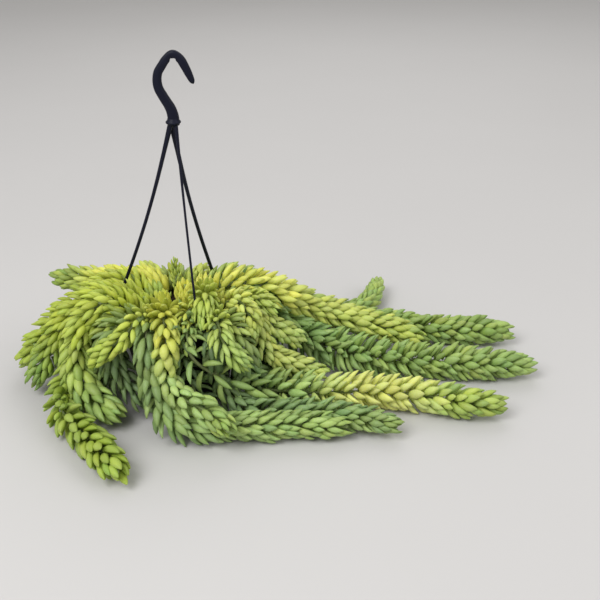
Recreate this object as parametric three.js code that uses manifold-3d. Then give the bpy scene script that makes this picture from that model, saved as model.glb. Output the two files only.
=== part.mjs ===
// Potted burro's tail: a trailing succulent in a hanging pot, standing on a flat surface.
// Millimetres, +Z up. Origin: centre of the pot's base. +X runs along the longest tails.

import * as THREE from 'three';
import * as BufferGeometryUtils from 'three/addons/utils/BufferGeometryUtils.js';
import Module from 'manifold-3d';

const wasm = await Module();
wasm.setup();

// Pot
const POT_HEIGHT = 105;
const POT_BASE_RADIUS = 50;
const POT_MOUTH_RADIUS = 68;       // outside of the wall at the height of the rim
const POT_WALL = 1.6;
const POT_FLOOR = 2;
const RIM_RADIUS = 75;
const RIM_THICKNESS = 1.8;
const RIM_SKIRT = 9;               // height of the rim's turned-down edge
const POT_SIDES = 28;
const DRAIN_HOLES = 6;
const DRAIN_RADIUS = 4;
const DRAIN_CIRCLE = 34;

// Soil
const SOIL_TOP = 95;
const SOIL_CROWN = 4;
const STEM_RADIUS = 3;
const STEM_DEPTH = 84;             // height at which the cut stems end in the soil
const STEM_HOLE_RADIUS = 4;
const SOIL_SHOULDER = [0.6, 0.7];   // shares of the soil's radius and crown where its slope changes

// Short shoots
const SHOOT_LEAN = 0.12;           // how far a short shoot leans outwards, as a share of its place
const SHOOT_FOOT = 101;            // up to this height it is upright
const SHOOT_BEND = 118;            // here it leans once the share, and at its end SHOOT_OUT times
const SHOOT_RISE = 7;              // its end is at least this much higher than the bend
const SHOOT_OUT = 1.6;
const SHOOT_TIP = 0.9;             // its stem ends this share of the reach under its top

// Hanger
const LEG_STEPS = 10;
const COLLAR = [10, 0, 315];       // the hanger leans a little towards +X
const COLLAR_RADIUS = 7.5;
const COLLAR_HEIGHT = 8;
// The hook from the collar's centre as [across, up]: up, round to the left, over the top, to its tip.
const HOOK_LINE = [[0.5, -3], [0.5, 4], [-1.5, 13.5], [-8.5, 27], [-12, 34.5], [-13, 42], [-11.5, 50.5],
  [-7, 57.5], [-2.5, 63.5], [4.5, 68.5], [11.5, 64], [15.5, 57], [23.5, 38.5]];
const HOOK_SIDES = 8;
const HOOK_STEPS = 22;
// [share of it, radius]
const HOOK_RADII = [[0, 6], [0.08, 5.8], [0.2, 5], [0.5, 4.5], [0.66, 4.2], [0.8, 4.4], [0.9, 3.9],
  [0.96, 3.1], [1, 2]];
const SEAT_AT = [4.5, 64.8];       // the flat inside the top of the hook, from the collar's centre
const SEAT_LENGTH = 6;
const SEAT_CUT = 4;                // height of the box that cuts the flat
// Around the rim in degrees, how far each flexible leg bows inwards halfway up, its radius, and where
// its head stands from the collar's axis.
const LEGS = [
  { angle: 168, bow: 4.5, radius: 1.8, head: [-3, 0] },
  { angle: 293, bow: 3, radius: 1.2, head: [3, -3] },
  { angle: 59, bow: 5.5, radius: 1.8, head: [-2.5, 3] },
];
const LEG_HEAD = 2;                // depth of the heads under the collar's centre
const CLIP_CIRCLE = 71.4;          // where the legs pass the rim
const CLIP_WIDTH = 6;
const CLIP_SLOT = 7.4;
const CLIP_THICKNESS = 2.2;
const CLIP_TOP = 4.5;              // height of the clip's tongue over the rim
const LEG_START = 3;               // height over the rim at which the leg leaves the tongue
const BARB_HEIGHT = 3;

// Fits
const GAP = 0.35;                  // clearance between neighbouring pieces
const SURFACE_GAP = 0.4;           // height of the lowest leaves over the surface

// Leaves
const LEAF_SIDES = 8;
const LEAF_ROW = 14;               // distance between rows of leaves along a stem
const LEAF_LEAN = 0.95;            // how far a leaf leans to the tip, per millimetre of its height
const BEND_SHARE = 0.7;            // most reach inside a bend, as a share of the bend's radius
const CORE_SHARE = 0.46;           // radius of the leaf bases, as a share of the reach of the tips

const LEAF_GREEN = 0x8fae5a;
const LEAF_YELLOW = 0xc2cc5e;
const LEAF_BRIGHT = 0xa3bf55;
const LEAF_BLUE = 0x7f9c74;

// Each tail: its centre line from the root in the soil to the tip, and the reach of its leaf tips
// from that line as [share of the length, reach]. The first in the list keep their whole shape, and
// the later ones give way where they press on them.
const TAILS = [
  { name: 'braid_front', color: LEAF_YELLOW,
    line: [[-8, -30, 84], [-8, -30, 101], [-8, -48, 119], [-7, -70, 124], [-3, -90, 112], [-4, -95, 93],
      [-7, -96, 75], [0, -101, 60], [13, -115, 52], [29, -123, 48], [42, -131, 42], [60, -147, 33]],
    reach: [[0.07, 3], [0.16, 23], [0.27, 19], [0.38, 13], [0.6, 12], [0.75, 14], [0.92, 14], [1, 9]] },
  { name: 'tail_right_high', color: LEAF_YELLOW,
    line: [[38, 14, 84], [38, 14, 101], [50, 14, 118], [70, 16, 122], [94, 18, 116], [118, 27, 102],
      [138, 38, 87], [165, 49, 70], [197, 56, 55], [229, 54, 45], [256, 51, 37], [280, 48, 28]],
    reach: [[0.05, 3], [0.13, 18], [0.36, 20], [0.5, 18], [0.9, 17], [1, 10]] },
  { name: 'tail_front', color: LEAF_GREEN,
    line: [[-22, -46, 84], [-22, -46, 101], [-25, -66, 112], [-26, -85, 101], [-23, -90, 78],
      [-16, -97, 54], [-5, -109, 33], [13, -115, 24], [36, -116, 20], [64, -115, 18], [98, -116, 17],
      [133, -114, 17], [160, -116, 17], [183, -118, 16]],
    reach: [[0.1, 3], [0.15, 9], [0.26, 11], [0.36, 21], [0.46, 24], [0.6, 17], [0.9, 16], [1, 11]] },
  { name: 'tail_right_front', color: LEAF_YELLOW,
    line: [[14, -40, 84], [14, -40, 101], [12, -62, 112], [14, -84, 101], [24, -89, 84], [36, -83, 68],
      [52, -71, 50], [72, -61, 35], [99, -55, 25], [125, -55, 22], [151, -59, 22], [199, -58, 22],
      [232, -60, 21], [265, -65, 20], [296, -73, 19], [325, -82, 19], [352, -85, 18]],
    reach: [[0.2, 3], [0.27, 14], [0.34, 25], [0.5, 27], [0.6, 24], [0.7, 22], [0.9, 20], [1, 12]] },
  { name: 'tail_right_middle', color: LEAF_GREEN,
    line: [[52, 20, 84], [52, 20, 100], [70, 25, 113], [94, 31, 96], [112, 36, 72], [138, 35, 47],
      [168, 30, 32], [195, 23, 27], [226, 15, 24], [262, 10, 22], [295, 6, 21], [330, 2, 20],
      [365, 0, 19], [403, -1, 17]],
    reach: [[0.07, 3], [0.2, 14], [0.32, 27], [0.5, 29], [0.7, 24], [0.9, 20], [1, 12]] },
  { name: 'tail_right_rear', color: LEAF_GREEN,
    line: [[44, 34, 84], [44, 34, 100], [63, 40, 111], [86, 56, 104], [108, 70, 88], [136, 82, 66],
      [166, 93, 46], [197, 103, 32], [227, 107, 24], [251, 104, 21], [279, 95, 20], [313, 87, 19],
      [357, 84, 19], [395, 80, 18]],
    reach: [[0.06, 3], [0.16, 14], [0.5, 17], [0.8, 19], [0.92, 19], [1, 12]] },
  { name: 'tail_left_curled', color: LEAF_BRIGHT,
    line: [[-46, -22, 84], [-46, -22, 101], [-60, -26, 120], [-78, -31, 125], [-96, -38, 111],
      [-108, -41, 86], [-112, -46, 62], [-107, -54, 42], [-94, -65, 29], [-79, -77, 22],
      [-64, -89, 20]],
    reach: [[0.08, 3], [0.2, 17], [0.6, 18], [0.75, 20], [0.93, 19], [1, 12]] },
  { name: 'tail_left_front', color: LEAF_BRIGHT,
    line: [[-56, -8, 84], [-56, -8, 100], [-72, -12, 112], [-88, -15, 100], [-96, -18, 80],
      [-108, -20, 58], [-120, -24, 40], [-128, -35, 27], [-131, -60, 20], [-121, -88, 20],
      [-99, -117, 19], [-76, -148, 19], [-57, -174, 19], [-46, -192, 18]],
    reach: [[0.08, 3], [0.2, 10], [0.45, 18], [0.75, 20], [0.92, 19], [1, 12]] },
  { name: 'tail_left_low', color: LEAF_BRIGHT,
    line: [[-42, 0, 84], [-42, 0, 101], [-54, -4, 119], [-74, -8, 124], [-100, -9, 114], [-124, -8, 93],
      [-144, -8, 65], [-157, -6, 42], [-166, -9, 28], [-171, -18, 20]],
    reach: [[0.09, 3], [0.22, 16], [0.5, 19], [0.88, 18], [1, 12]] },
  { name: 'tail_left_long', color: LEAF_BRIGHT,
    line: [[-42, 20, 84], [-42, 20, 101], [-57, 33, 117], [-77, 33, 117], [-106, 26, 105],
      [-136, 23, 85], [-163, 22, 56], [-181, 24, 36], [-194, 27, 23]],
    reach: [[0.08, 3], [0.22, 16], [0.55, 19], [0.88, 18], [1, 11]] },
  { name: 'tail_left_rear_high', color: LEAF_YELLOW,
    line: [[-22, 34, 84], [-22, 34, 101], [-36, 48, 113], [-62, 52, 115], [-94, 62, 109],
      [-126, 75, 105], [-157, 89, 101]],
    reach: [[0.09, 3], [0.24, 14], [0.6, 16], [0.88, 15], [1, 11]] },
  { name: 'tail_left_under', color: LEAF_GREEN,
    line: [[-45, 33, 84], [-45, 33, 100], [-63, 47, 112], [-86, 58, 98], [-114, 64, 72], [-146, 63, 44],
      [-169, 59, 28], [-188, 53, 19]],
    reach: [[0.1, 3], [0.25, 11], [0.5, 18], [0.88, 17], [1, 11]] },
  { name: 'braid_left_short', color: LEAF_BRIGHT,
    line: [[-30, -32, 84], [-30, -32, 101], [-33, -52, 118], [-38, -71, 120], [-47, -80, 111],
      [-58, -82, 102], [-70, -81, 93], [-86, -79, 80]],
    reach: [[0.12, 3], [0.3, 14], [0.5, 12], [0.88, 13], [1, 9]] },
  { name: 'rosette_front', color: LEAF_BRIGHT,
    line: [[30, -10, 84], [30, -10, 110], [32, -22, 128], [34, -42, 135], [34, -60, 130],
      [35, -70, 118]],
    reach: [[0.25, 3], [0.5, 15], [0.85, 17], [1, 9]] },
  { name: 'tail_yellow_droop', color: LEAF_YELLOW,
    line: [[46, -22, 84], [46, -22, 101], [57, -28, 120], [69, -35, 125], [79, -43, 117],
      [83, -50, 106], [85, -56, 95]],
    reach: [[0.13, 3], [0.32, 14], [0.85, 13], [1, 9]] },
  { name: 'tail_green_droop', color: LEAF_BRIGHT,
    line: [[33, -33, 84], [33, -33, 101], [45, -56, 117], [50, -75, 117], [54, -85, 105], [64, -84, 88],
      [78, -79, 71]],
    reach: [[0.15, 3], [0.34, 14], [0.7, 15], [0.9, 15], [1, 10]] },
  { name: 'sprig_edge', color: LEAF_YELLOW,
    line: [[23, -27, 84], [23, -27, 101], [21, -40, 119], [17, -54, 124], [14, -65, 120],
      [13, -73, 111]],
    reach: [[0.22, 3], [0.42, 12], [0.85, 13], [1, 8]] },
  { name: 'sprig_dark', color: LEAF_GREEN,
    line: [[23, -52, 84], [23, -52, 101], [20, -66, 113], [17, -77, 112], [18, -85, 104],
      [20, -89, 95]],
    reach: [[0.22, 3], [0.5, 10], [0.85, 11], [1, 7]] },
  { name: 'tail_small_droop', color: LEAF_BRIGHT,
    line: [[46, 2, 84], [46, 2, 100], [66, -6, 115], [88, -13, 118], [102, -17, 111], [109, -19, 104]],
    reach: [[0.16, 3], [0.4, 12], [0.85, 12], [1, 9]] },
  { name: 'braid_right_upper', color: LEAF_YELLOW,
    line: [[56, 8, 84], [56, 8, 100], [74, 4, 112], [90, -10, 102], [98, -18, 92], [112, -13, 80],
      [127, -10, 67], [136, -8, 58]],
    reach: [[0.15, 3], [0.35, 8], [0.5, 14], [0.88, 13], [1, 9]] },
  { name: 'braid_right_lower', color: LEAF_YELLOW,
    line: [[54, -14, 84], [54, -14, 100], [70, -22, 112], [85, -30, 104], [91, -34, 87], [95, -34, 70],
      [109, -29, 52], [129, -24, 38], [148, -21, 29], [163, -21, 25]],
    reach: [[0.2, 3], [0.4, 6], [0.52, 15], [0.88, 15], [1, 10]] },
  { name: 'tail_right_short', color: LEAF_BLUE,
    line: [[33, -46, 84], [33, -46, 101], [40, -63, 110], [43, -76, 99], [42, -75, 84], [42, -70, 66],
      [48, -66, 46], [57, -70, 30], [74, -81, 20], [98, -90, 18], [125, -91, 18], [158, -93, 18],
      [195, -103, 17], [236, -119, 16]],
    reach: [[0.12, 3], [0.18, 9], [0.4, 10], [0.52, 16], [0.9, 16], [1, 10]] },
  { name: 'tail_rear_small', color: LEAF_GREEN,
    line: [[34, 44, 84], [34, 44, 101], [50, 56, 114], [66, 74, 105], [93, 102, 72], [126, 130, 38],
      [165, 140, 23], [195, 144, 20], [217, 157, 19], [230, 183, 17], [239, 212, 17], [244, 236, 16]],
    reach: [[0.08, 3], [0.13, 9], [0.25, 16], [0.6, 16], [0.9, 13], [1, 9]] },
  { name: 'tail_back_right', color: LEAF_GREEN,
    line: [[10, 54, 84], [10, 54, 101], [17, 76, 108], [26, 98, 94], [34, 120, 68], [46, 145, 41],
      [58, 175, 23], [68, 208, 17]],
    reach: [[0.1, 3], [0.24, 9], [0.4, 14], [0.6, 18], [0.88, 16], [1, 10]] },
  { name: 'tail_back_middle', color: LEAF_BRIGHT,
    line: [[-10, 54, 84], [-10, 54, 101], [-12, 76, 108], [-14, 98, 98], [-13, 122, 75], [-8, 146, 44],
      [0, 178, 24], [10, 214, 17]],
    reach: [[0.1, 3], [0.24, 10], [0.4, 15], [0.6, 18], [0.88, 16], [1, 10]] },
  { name: 'tail_back_left', color: LEAF_GREEN,
    line: [[-26, 49, 84], [-26, 49, 100], [-41, 72, 110], [-53, 92, 98], [-66, 112, 71], [-82, 134, 41],
      [-99, 162, 22], [-113, 192, 17]],
    reach: [[0.1, 3], [0.24, 14], [0.6, 18], [0.88, 16], [1, 10]] },
  { name: 'tail_back_outer', color: LEAF_BRIGHT,
    line: [[-37, 43, 84], [-37, 43, 100], [-60, 63, 110], [-80, 80, 96], [-100, 98, 68],
      [-124, 112, 38], [-154, 120, 20], [-182, 122, 17]],
    reach: [[0.12, 3], [0.3, 10], [0.55, 17], [0.88, 16], [1, 10]] },
  { name: 'tail_shade_left', color: LEAF_BLUE,
    line: [[-36, -42, 84], [-36, -42, 100], [-51, -57, 110], [-65, -63, 98], [-65, -64, 76],
      [-58, -64, 52], [-47, -66, 36], [-31, -67, 25], [-12, -70, 18]],
    reach: [[0.14, 3], [0.3, 11], [0.7, 15], [0.9, 13], [1, 9]] },
  { name: 'tail_shade_low', color: LEAF_BLUE,
    line: [[42, -38, 84], [42, -38, 100], [58, -56, 110], [70, -62, 97], [73, -60, 76], [76, -52, 52],
      [86, -40, 32], [104, -26, 20], [126, -20, 17], [150, -18, 16]],
    reach: [[0.14, 3], [0.3, 9], [0.6, 13], [0.9, 14], [1, 9]] },
  { name: 'tail_shade_outer', color: LEAF_GREEN,
    line: [[-47, -32, 84], [-47, -32, 100], [-61, -41, 110], [-73, -48, 98], [-77, -47, 78],
      [-81, -42, 56], [-90, -37, 36], [-101, -39, 23]],
    reach: [[0.15, 3], [0.3, 11], [0.6, 14], [0.9, 13], [1, 9]] },
  { name: 'tail_shade_front', color: LEAF_BLUE,
    line: [[2, -50, 84], [2, -50, 101], [5, -66, 110], [7, -79, 100], [10, -76, 84], [13, -74, 64],
      [17, -72, 44], [26, -76, 26], [42, -84, 18]],
    reach: [[0.2, 3], [0.3, 9], [0.6, 12], [0.9, 12], [1, 8]] },
  { name: 'tail_shade_right', color: LEAF_BLUE,
    line: [[56, -3, 84], [56, -3, 100], [71, -1, 109], [85, 3, 98], [87, 6, 76], [91, 9, 52],
      [102, 9, 30], [119, 6, 19]],
    reach: [[0.2, 3], [0.35, 10], [0.9, 12], [1, 8]] },
  { name: 'tail_shade_back', color: LEAF_BLUE,
    line: [[0, 49, 84], [0, 49, 100], [0, 66, 110], [1, 80, 99], [0, 84, 77], [-1, 90, 52],
      [3, 104, 29], [7, 121, 18]],
    reach: [[0.2, 3], [0.35, 10], [0.9, 12], [1, 8]] },
  { name: 'tail_shade_back_left', color: LEAF_BLUE,
    line: [[-18, 52, 84], [-18, 52, 100], [-25, 65, 110], [-31, 78, 99], [-34, 82, 76], [-38, 91, 50],
      [-48, 105, 28], [-58, 121, 18]],
    reach: [[0.2, 3], [0.35, 10], [0.9, 12], [1, 8]] },
  { name: 'tail_shade_side', color: LEAF_BLUE,
    line: [[-55, 6, 84], [-55, 6, 100], [-70, 1, 110], [-84, 3, 98], [-88, 8, 76], [-94, 13, 52],
      [-106, 18, 31], [-122, 24, 19]],
    reach: [[0.2, 3], [0.35, 10], [0.9, 12], [1, 8]] },
];

// Short upright shoots that fill the top of the plant: root, height of the tip and reach.
const SHOOTS = [
  { name: 'shoot_yellow', at: [6, 8], top: 138, reach: 14, color: LEAF_YELLOW },
  { name: 'shoot_tall', at: [-6, 38], top: 148, reach: 7, color: LEAF_BRIGHT },
  { name: 'shoot_pale', at: [22, 30], top: 132, reach: 13, color: LEAF_YELLOW },
  { name: 'shoot_left', at: [-24, 14], top: 133, reach: 14, color: LEAF_BRIGHT },
  { name: 'shoot_centre', at: [-14, -10], top: 136, reach: 13, color: LEAF_YELLOW },
  { name: 'shoot_front', at: [11, -14], top: 139, reach: 13, color: LEAF_YELLOW },
  { name: 'shoot_left_front', at: [-30, -14], top: 135, reach: 12, color: LEAF_BRIGHT },
  { name: 'shoot_rear', at: [6, 46], top: 126, reach: 11, color: LEAF_BRIGHT },
];

/** A geometry with positions only and shared corners. */
function merged(geometry) {
  const plain = geometry.index ? geometry.toNonIndexed() : geometry.clone();
  plain.deleteAttribute('normal');
  plain.deleteAttribute('uv');
  return BufferGeometryUtils.mergeVertices(plain, 1e-4);
}

/** A closed geometry as a solid that can be joined and cut. */
function solid(geometry) {
  const mesh = merged(geometry);
  return new wasm.Manifold(new wasm.Mesh({
    numProp: 3,
    vertProperties: new Float32Array(mesh.attributes.position.array),
    triVerts: new Uint32Array(mesh.index.array),
  }));
}

/** A solid as a geometry again. */
function geometryOf(body) {
  const mesh = body.getMesh();
  const geometry = new THREE.BufferGeometry();
  geometry.setAttribute('position', new THREE.BufferAttribute(mesh.vertProperties, 3));
  geometry.setIndex(new THREE.BufferAttribute(mesh.triVerts, 1));
  return geometry;
}

/** The largest body of a solid, without the scraps that a cut leaves. */
function largest(body) {
  return body.decompose().reduce((best, piece) => (piece.volume() > best.volume() ? piece : best));
}

/** A round solid turned about the vertical axis from [radius, height] pairs that close on the axis. */
function turned(profile, sides) {
  const geometry = new THREE.LatheGeometry(profile.map(([r, z]) => new THREE.Vector2(r, z)), sides);
  return geometry.rotateX(Math.PI / 2);
}

/** A box standing on the rim at an angle: radial thickness, tangential width, low and high z. */
function rimBox(angle, radius, thickness, width, low, high) {
  const geometry = new THREE.BoxGeometry(thickness, width, high - low);
  geometry.translate(radius, 0, (low + high) / 2);
  return geometry.rotateZ(THREE.MathUtils.degToRad(angle));
}

/** A regular prism standing at [x, y]. */
function prism([x, y], radius, sides, low, high) {
  const geometry = new THREE.CylinderGeometry(radius, radius, high - low, sides);
  return geometry.rotateX(Math.PI / 2).translate(x, y, (low + high) / 2);
}

/** A rod of a regular section carried along a curve. */
function rod(curve, radius, sides, steps) {
  const section = new THREE.Shape();
  for (let k = 0; k < sides; k += 1) {
    const angle = (2 * Math.PI * k) / sides;
    const point = [radius * Math.cos(angle), radius * Math.sin(angle)];
    if (k === 0) section.moveTo(...point);
    else section.lineTo(...point);
  }
  return new THREE.ExtrudeGeometry(section, { extrudePath: curve, steps, curveSegments: 1 });
}

/** The smooth curve through a list of points. */
function curveThrough(points) {
  return new THREE.CatmullRomCurve3(points.map((p) => new THREE.Vector3(...p)));
}

/** Straight-line interpolation in a list of [share, value] pairs. */
function lookUp(pairs, share) {
  if (share <= pairs[0][0]) return pairs[0][1];
  for (let k = 1; k < pairs.length; k += 1) {
    const [before, low] = pairs[k - 1];
    const [after, high] = pairs[k];
    if (share <= after) return low + ((high - low) * (share - before)) / (after - before);
  }
  return pairs[pairs.length - 1][1];
}

/**
 * A closed tube of rings along a curve. place(i, j, outward, tangents) gives the radius of a corner and
 * its shift along the curve. Each end closes in a point, rootLength behind and endLength ahead.
 */
function tube(curve, rings, sides, place, rootLength, endLength) {
  const { tangents, normals, binormals } = curve.computeFrenetFrames(rings);
  const corners = [];
  for (let i = 0; i <= rings; i += 1) {
    const centre = curve.getPointAt(i / rings);
    for (let j = 0; j < sides; j += 1) {
      const angle = (2 * Math.PI * j) / sides;
      const outward = normals[i].clone().multiplyScalar(Math.cos(angle))
        .addScaledVector(binormals[i], Math.sin(angle));
      const [radius, shift] = place(i, j, outward, tangents);
      corners.push(centre.clone().addScaledVector(outward, radius).addScaledVector(tangents[i], shift));
    }
  }
  const root = corners.length;
  corners.push(curve.getPointAt(0).addScaledVector(tangents[0], -rootLength));
  corners.push(curve.getPointAt(1).addScaledVector(tangents[rings], endLength));

  const faces = [];
  const at = (i, j) => i * sides + (j % sides);
  for (let j = 0; j < sides; j += 1) {
    faces.push(root, at(0, j + 1), at(0, j));
    faces.push(root + 1, at(rings, j), at(rings, j + 1));
    for (let i = 0; i < rings; i += 1) {
      const [a, b, c, d] = [at(i, j), at(i, j + 1), at(i + 1, j + 1), at(i + 1, j)];
      if ((i + j) % 2 === 0) faces.push(a, b, d, b, c, d);
      else faces.push(a, b, c, a, c, d);
    }
  }
  return { corners, faces };
}

/** Corners and faces as a geometry. */
function geometryFrom({ corners, faces }) {
  const geometry = new THREE.BufferGeometry();
  const flat = corners.flatMap((corner) => corner.toArray());
  geometry.setAttribute('position', new THREE.Float32BufferAttribute(flat, 3));
  geometry.setIndex(faces);
  return geometry;
}

/**
 * A stem with its leaves as a relief. Every second corner of the tube, in a chequered order, is drawn
 * out to the reach and leans to the tip, so that each one is the point of a leaf with four faces. On
 * the inside of a bend the reach stays short of the bend's centre. The tail is made fatter by a
 * margin, and full draws out all corners, which fills the notches between the leaves.
 */
function tailGeometry({ line, reach }, margin = 0, full = false) {
  const curve = curveThrough(line);
  const rings = Math.max(8, Math.round(curve.getLength() / LEAF_ROW));
  const step = curve.getLength() / rings;
  const place = (i, j, outward, tangents) => {
    const tipReach = lookUp(reach, i / rings);
    if (tipReach <= STEM_RADIUS) return [STEM_RADIUS + margin, 0];
    const core = Math.max(STEM_RADIUS, tipReach * CORE_SHARE);
    if (!full && (i + j) % 2 === 1) return [core + margin, 0];
    const turning = tangents[Math.min(i + 1, rings)].clone().sub(tangents[Math.max(i - 1, 0)]);
    const inBend = turning.dot(outward) / (2 * step);
    const most = inBend > 0 ? Math.max(core, BEND_SHARE / inBend) : tipReach;
    const radius = Math.min(tipReach, most);
    return [radius + margin, LEAF_LEAN * (radius - core)];
  };
  const tail = tube(curve, rings, LEAF_SIDES, place, margin, LEAF_LEAN * lookUp(reach, 1) + margin);
  for (const corner of tail.corners) corner.z = Math.max(corner.z, SURFACE_GAP - margin);
  return geometryFrom(tail);
}

/** The room that later tails leave for a tail. */
function tailHull(tail) {
  return solid(tailGeometry(tail, GAP, true)).add(solid(tailGeometry(tail, GAP)));
}

/** The outer radius of the pot's wall at a height. */
const wallRadius = (z) => POT_BASE_RADIUS + ((POT_MOUTH_RADIUS - POT_BASE_RADIUS) * z) / POT_HEIGHT;

/** The pot: a tapered shell with a turned-down rim, slots for the hanger and drain holes. */
function potBody() {
  const rimTop = POT_HEIGHT;
  const rimUnder = POT_HEIGHT - RIM_THICKNESS;
  const shell = [
    [0, 0], [POT_BASE_RADIUS, 0], [wallRadius(rimUnder), rimUnder],
    [RIM_RADIUS - POT_WALL, rimUnder], [RIM_RADIUS - POT_WALL, rimTop - RIM_SKIRT],
    [RIM_RADIUS, rimTop - RIM_SKIRT], [RIM_RADIUS, rimTop - 1], [RIM_RADIUS - 1, rimTop],
    [wallRadius(rimTop) - POT_WALL, rimTop], [wallRadius(POT_FLOOR) - POT_WALL, POT_FLOOR],
    [0, POT_FLOOR],
  ];
  let body = solid(turned(shell, POT_SIDES));
  for (let k = 0; k < DRAIN_HOLES; k += 1) {
    const angle = (2 * Math.PI * (k + 0.5)) / DRAIN_HOLES;
    const place = [DRAIN_CIRCLE * Math.cos(angle), DRAIN_CIRCLE * Math.sin(angle)];
    body = body.subtract(solid(prism(place, DRAIN_RADIUS, 8, -1, POT_FLOOR + 1)));
  }
  for (const { angle } of LEGS) {
    const slot = rimBox(angle, CLIP_CIRCLE, CLIP_THICKNESS + 2 * GAP, CLIP_SLOT, rimUnder - 1, rimTop + 2);
    body = body.subtract(solid(slot));
  }
  return body;
}

/** The soil inside the pot, crowned in the middle, made fatter by grown. */
function soilHull(grown = 0) {
  const floor = POT_FLOOR + GAP;
  const side = (z) => wallRadius(z) - POT_WALL - GAP + grown;
  const [across, up] = SOIL_SHOULDER;
  return solid(turned([
    [0, floor], [side(floor), floor], [side(SOIL_TOP), SOIL_TOP + grown],
    [side(SOIL_TOP) * across, SOIL_TOP + SOIL_CROWN * up + grown], [0, SOIL_TOP + SOIL_CROWN + grown],
  ], POT_SIDES / 2));
}

/** The hole in the soil that a stem stands in. */
function stemHole(line) {
  return solid(prism(line[0], STEM_HOLE_RADIUS, 6, STEM_DEPTH - GAP, SOIL_TOP + 2 * SOIL_CROWN));
}

/** The curve of one leg, from its clip in the rim up into the collar. */
function legCurve({ angle, bow, head: [headX, headY] }) {
  const turn = THREE.MathUtils.degToRad(angle);
  const outward = new THREE.Vector3(Math.cos(turn), Math.sin(turn), 0);
  const foot = new THREE.Vector3(0, 0, POT_HEIGHT + LEG_START).addScaledVector(outward, CLIP_CIRCLE);
  const head = new THREE.Vector3(...COLLAR).add(new THREE.Vector3(headX, headY, -LEG_HEAD));
  const points = [];
  for (const share of [0, 0.1, 0.3, 0.5, 0.7, 0.9, 1]) {
    const point = foot.clone().lerp(head, share);
    points.push(point.addScaledVector(outward, -bow * Math.sin(Math.PI * share)).toArray());
  }
  return curveThrough(points);
}

/** The hook: a tapered rod along its line. */
function hookGeometry() {
  const [x, y, z] = COLLAR;
  const curve = curveThrough(HOOK_LINE.map(([across, up]) => [x + across, y, z + up]));
  const place = (i) => [lookUp(HOOK_RADII, i / HOOK_STEPS), 0];
  return geometryFrom(tube(curve, HOOK_STEPS, HOOK_SIDES, place, 0, 1));
}

/** A leg's clip: the tongue through the rim's slot and the barb under it, made fatter by grown. */
function clipBody({ angle }, grown = 0) {
  const under = POT_HEIGHT - RIM_THICKNESS - GAP;
  const tongue = rimBox(angle, CLIP_CIRCLE, CLIP_THICKNESS + 2 * grown, CLIP_WIDTH + 2 * grown,
    under - BARB_HEIGHT, POT_HEIGHT + CLIP_TOP + grown);
  const barb = rimBox(angle, CLIP_CIRCLE, CLIP_THICKNESS + 2 * grown, CLIP_SLOT + 2 + 2 * grown,
    under - BARB_HEIGHT - grown, under + grown);
  return solid(tongue).add(solid(barb));
}

/** The hanger: hook, collar and three clipped legs, moulded in one. */
function hangerBody() {
  const [x, y, z] = COLLAR;
  const collar = new THREE.CylinderGeometry(COLLAR_RADIUS - 2, COLLAR_RADIUS, COLLAR_HEIGHT, 12);
  let body = solid(collar.rotateX(Math.PI / 2).translate(x, y, z)).add(solid(hookGeometry()));
  for (const leg of LEGS) {
    body = body.add(solid(rod(legCurve(leg), leg.radius, 6, LEG_STEPS))).add(clipBody(leg));
  }
  const flat = new THREE.BoxGeometry(SEAT_LENGTH, 3 * COLLAR_RADIUS, SEAT_CUT);
  flat.translate(x + SEAT_AT[0], y, z + SEAT_AT[1] - SEAT_CUT / 2);
  return body.subtract(solid(flat));
}

/** The room that the tails leave for the hanger's legs and clips. */
function hangerHull() {
  const rooms = LEGS.map((leg) => (
    solid(rod(legCurve(leg), leg.radius + 2 * GAP, 6, LEG_STEPS)).add(clipBody(leg, GAP))
  ));
  return rooms.reduce((joined, room) => joined.add(room));
}

/** The room that the tails leave for the pot's wall and rim. */
function potHull() {
  const rim = RIM_RADIUS + GAP;
  const low = POT_HEIGHT - RIM_SKIRT - GAP;
  return solid(turned([
    [0, -1], [POT_BASE_RADIUS + GAP, -1], [wallRadius(low) + GAP, low], [rim, low],
    [rim, POT_HEIGHT + GAP], [wallRadius(POT_HEIGHT) - POT_WALL - GAP, POT_HEIGHT + GAP],
    [wallRadius(SOIL_TOP - 2) - POT_WALL - GAP, SOIL_TOP - 2], [0, SOIL_TOP - 2],
  ], POT_SIDES));
}

/** The centre line and reach of a short shoot, in the form of the tails. */
function shootAsTail({ name, at: [x, y], top, reach, color }) {
  const point = (lean, z) => [x * (1 + lean * SHOOT_LEAN), y * (1 + lean * SHOOT_LEAN), z];
  const end = top - reach * SHOOT_TIP;
  return {
    name, color,
    line: [point(0, STEM_DEPTH), point(0, SHOOT_FOOT), point(1, Math.min(SHOOT_BEND, end - SHOOT_RISE)),
      point(SHOOT_OUT, end)],
    reach: [[0.35, STEM_RADIUS], [0.6, reach], [1, reach * 0.8]],
  };
}

const plants = [...TAILS, ...SHOOTS.map(shootAsTail)];

const part = new THREE.Group();

/** Adds a named piece with its finish. */
function addPiece(name, body, color, roughness) {
  const material = new THREE.MeshStandardMaterial({ color, roughness, metalness: 0 });
  const mesh = new THREE.Mesh(geometryOf(body), material);
  mesh.name = name;
  part.add(mesh);
}

addPiece('pot', potBody(), 0x1b1c1f, 0.5);
addPiece('hanger', hangerBody(), 0x14161c, 0.45);

const holes = plants.map(({ line }) => stemHole(line));
let soil = soilHull();
for (const hole of holes) soil = soil.subtract(hole);
addPiece('soil', soil, 0x3a2a1e, 0.95);

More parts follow.
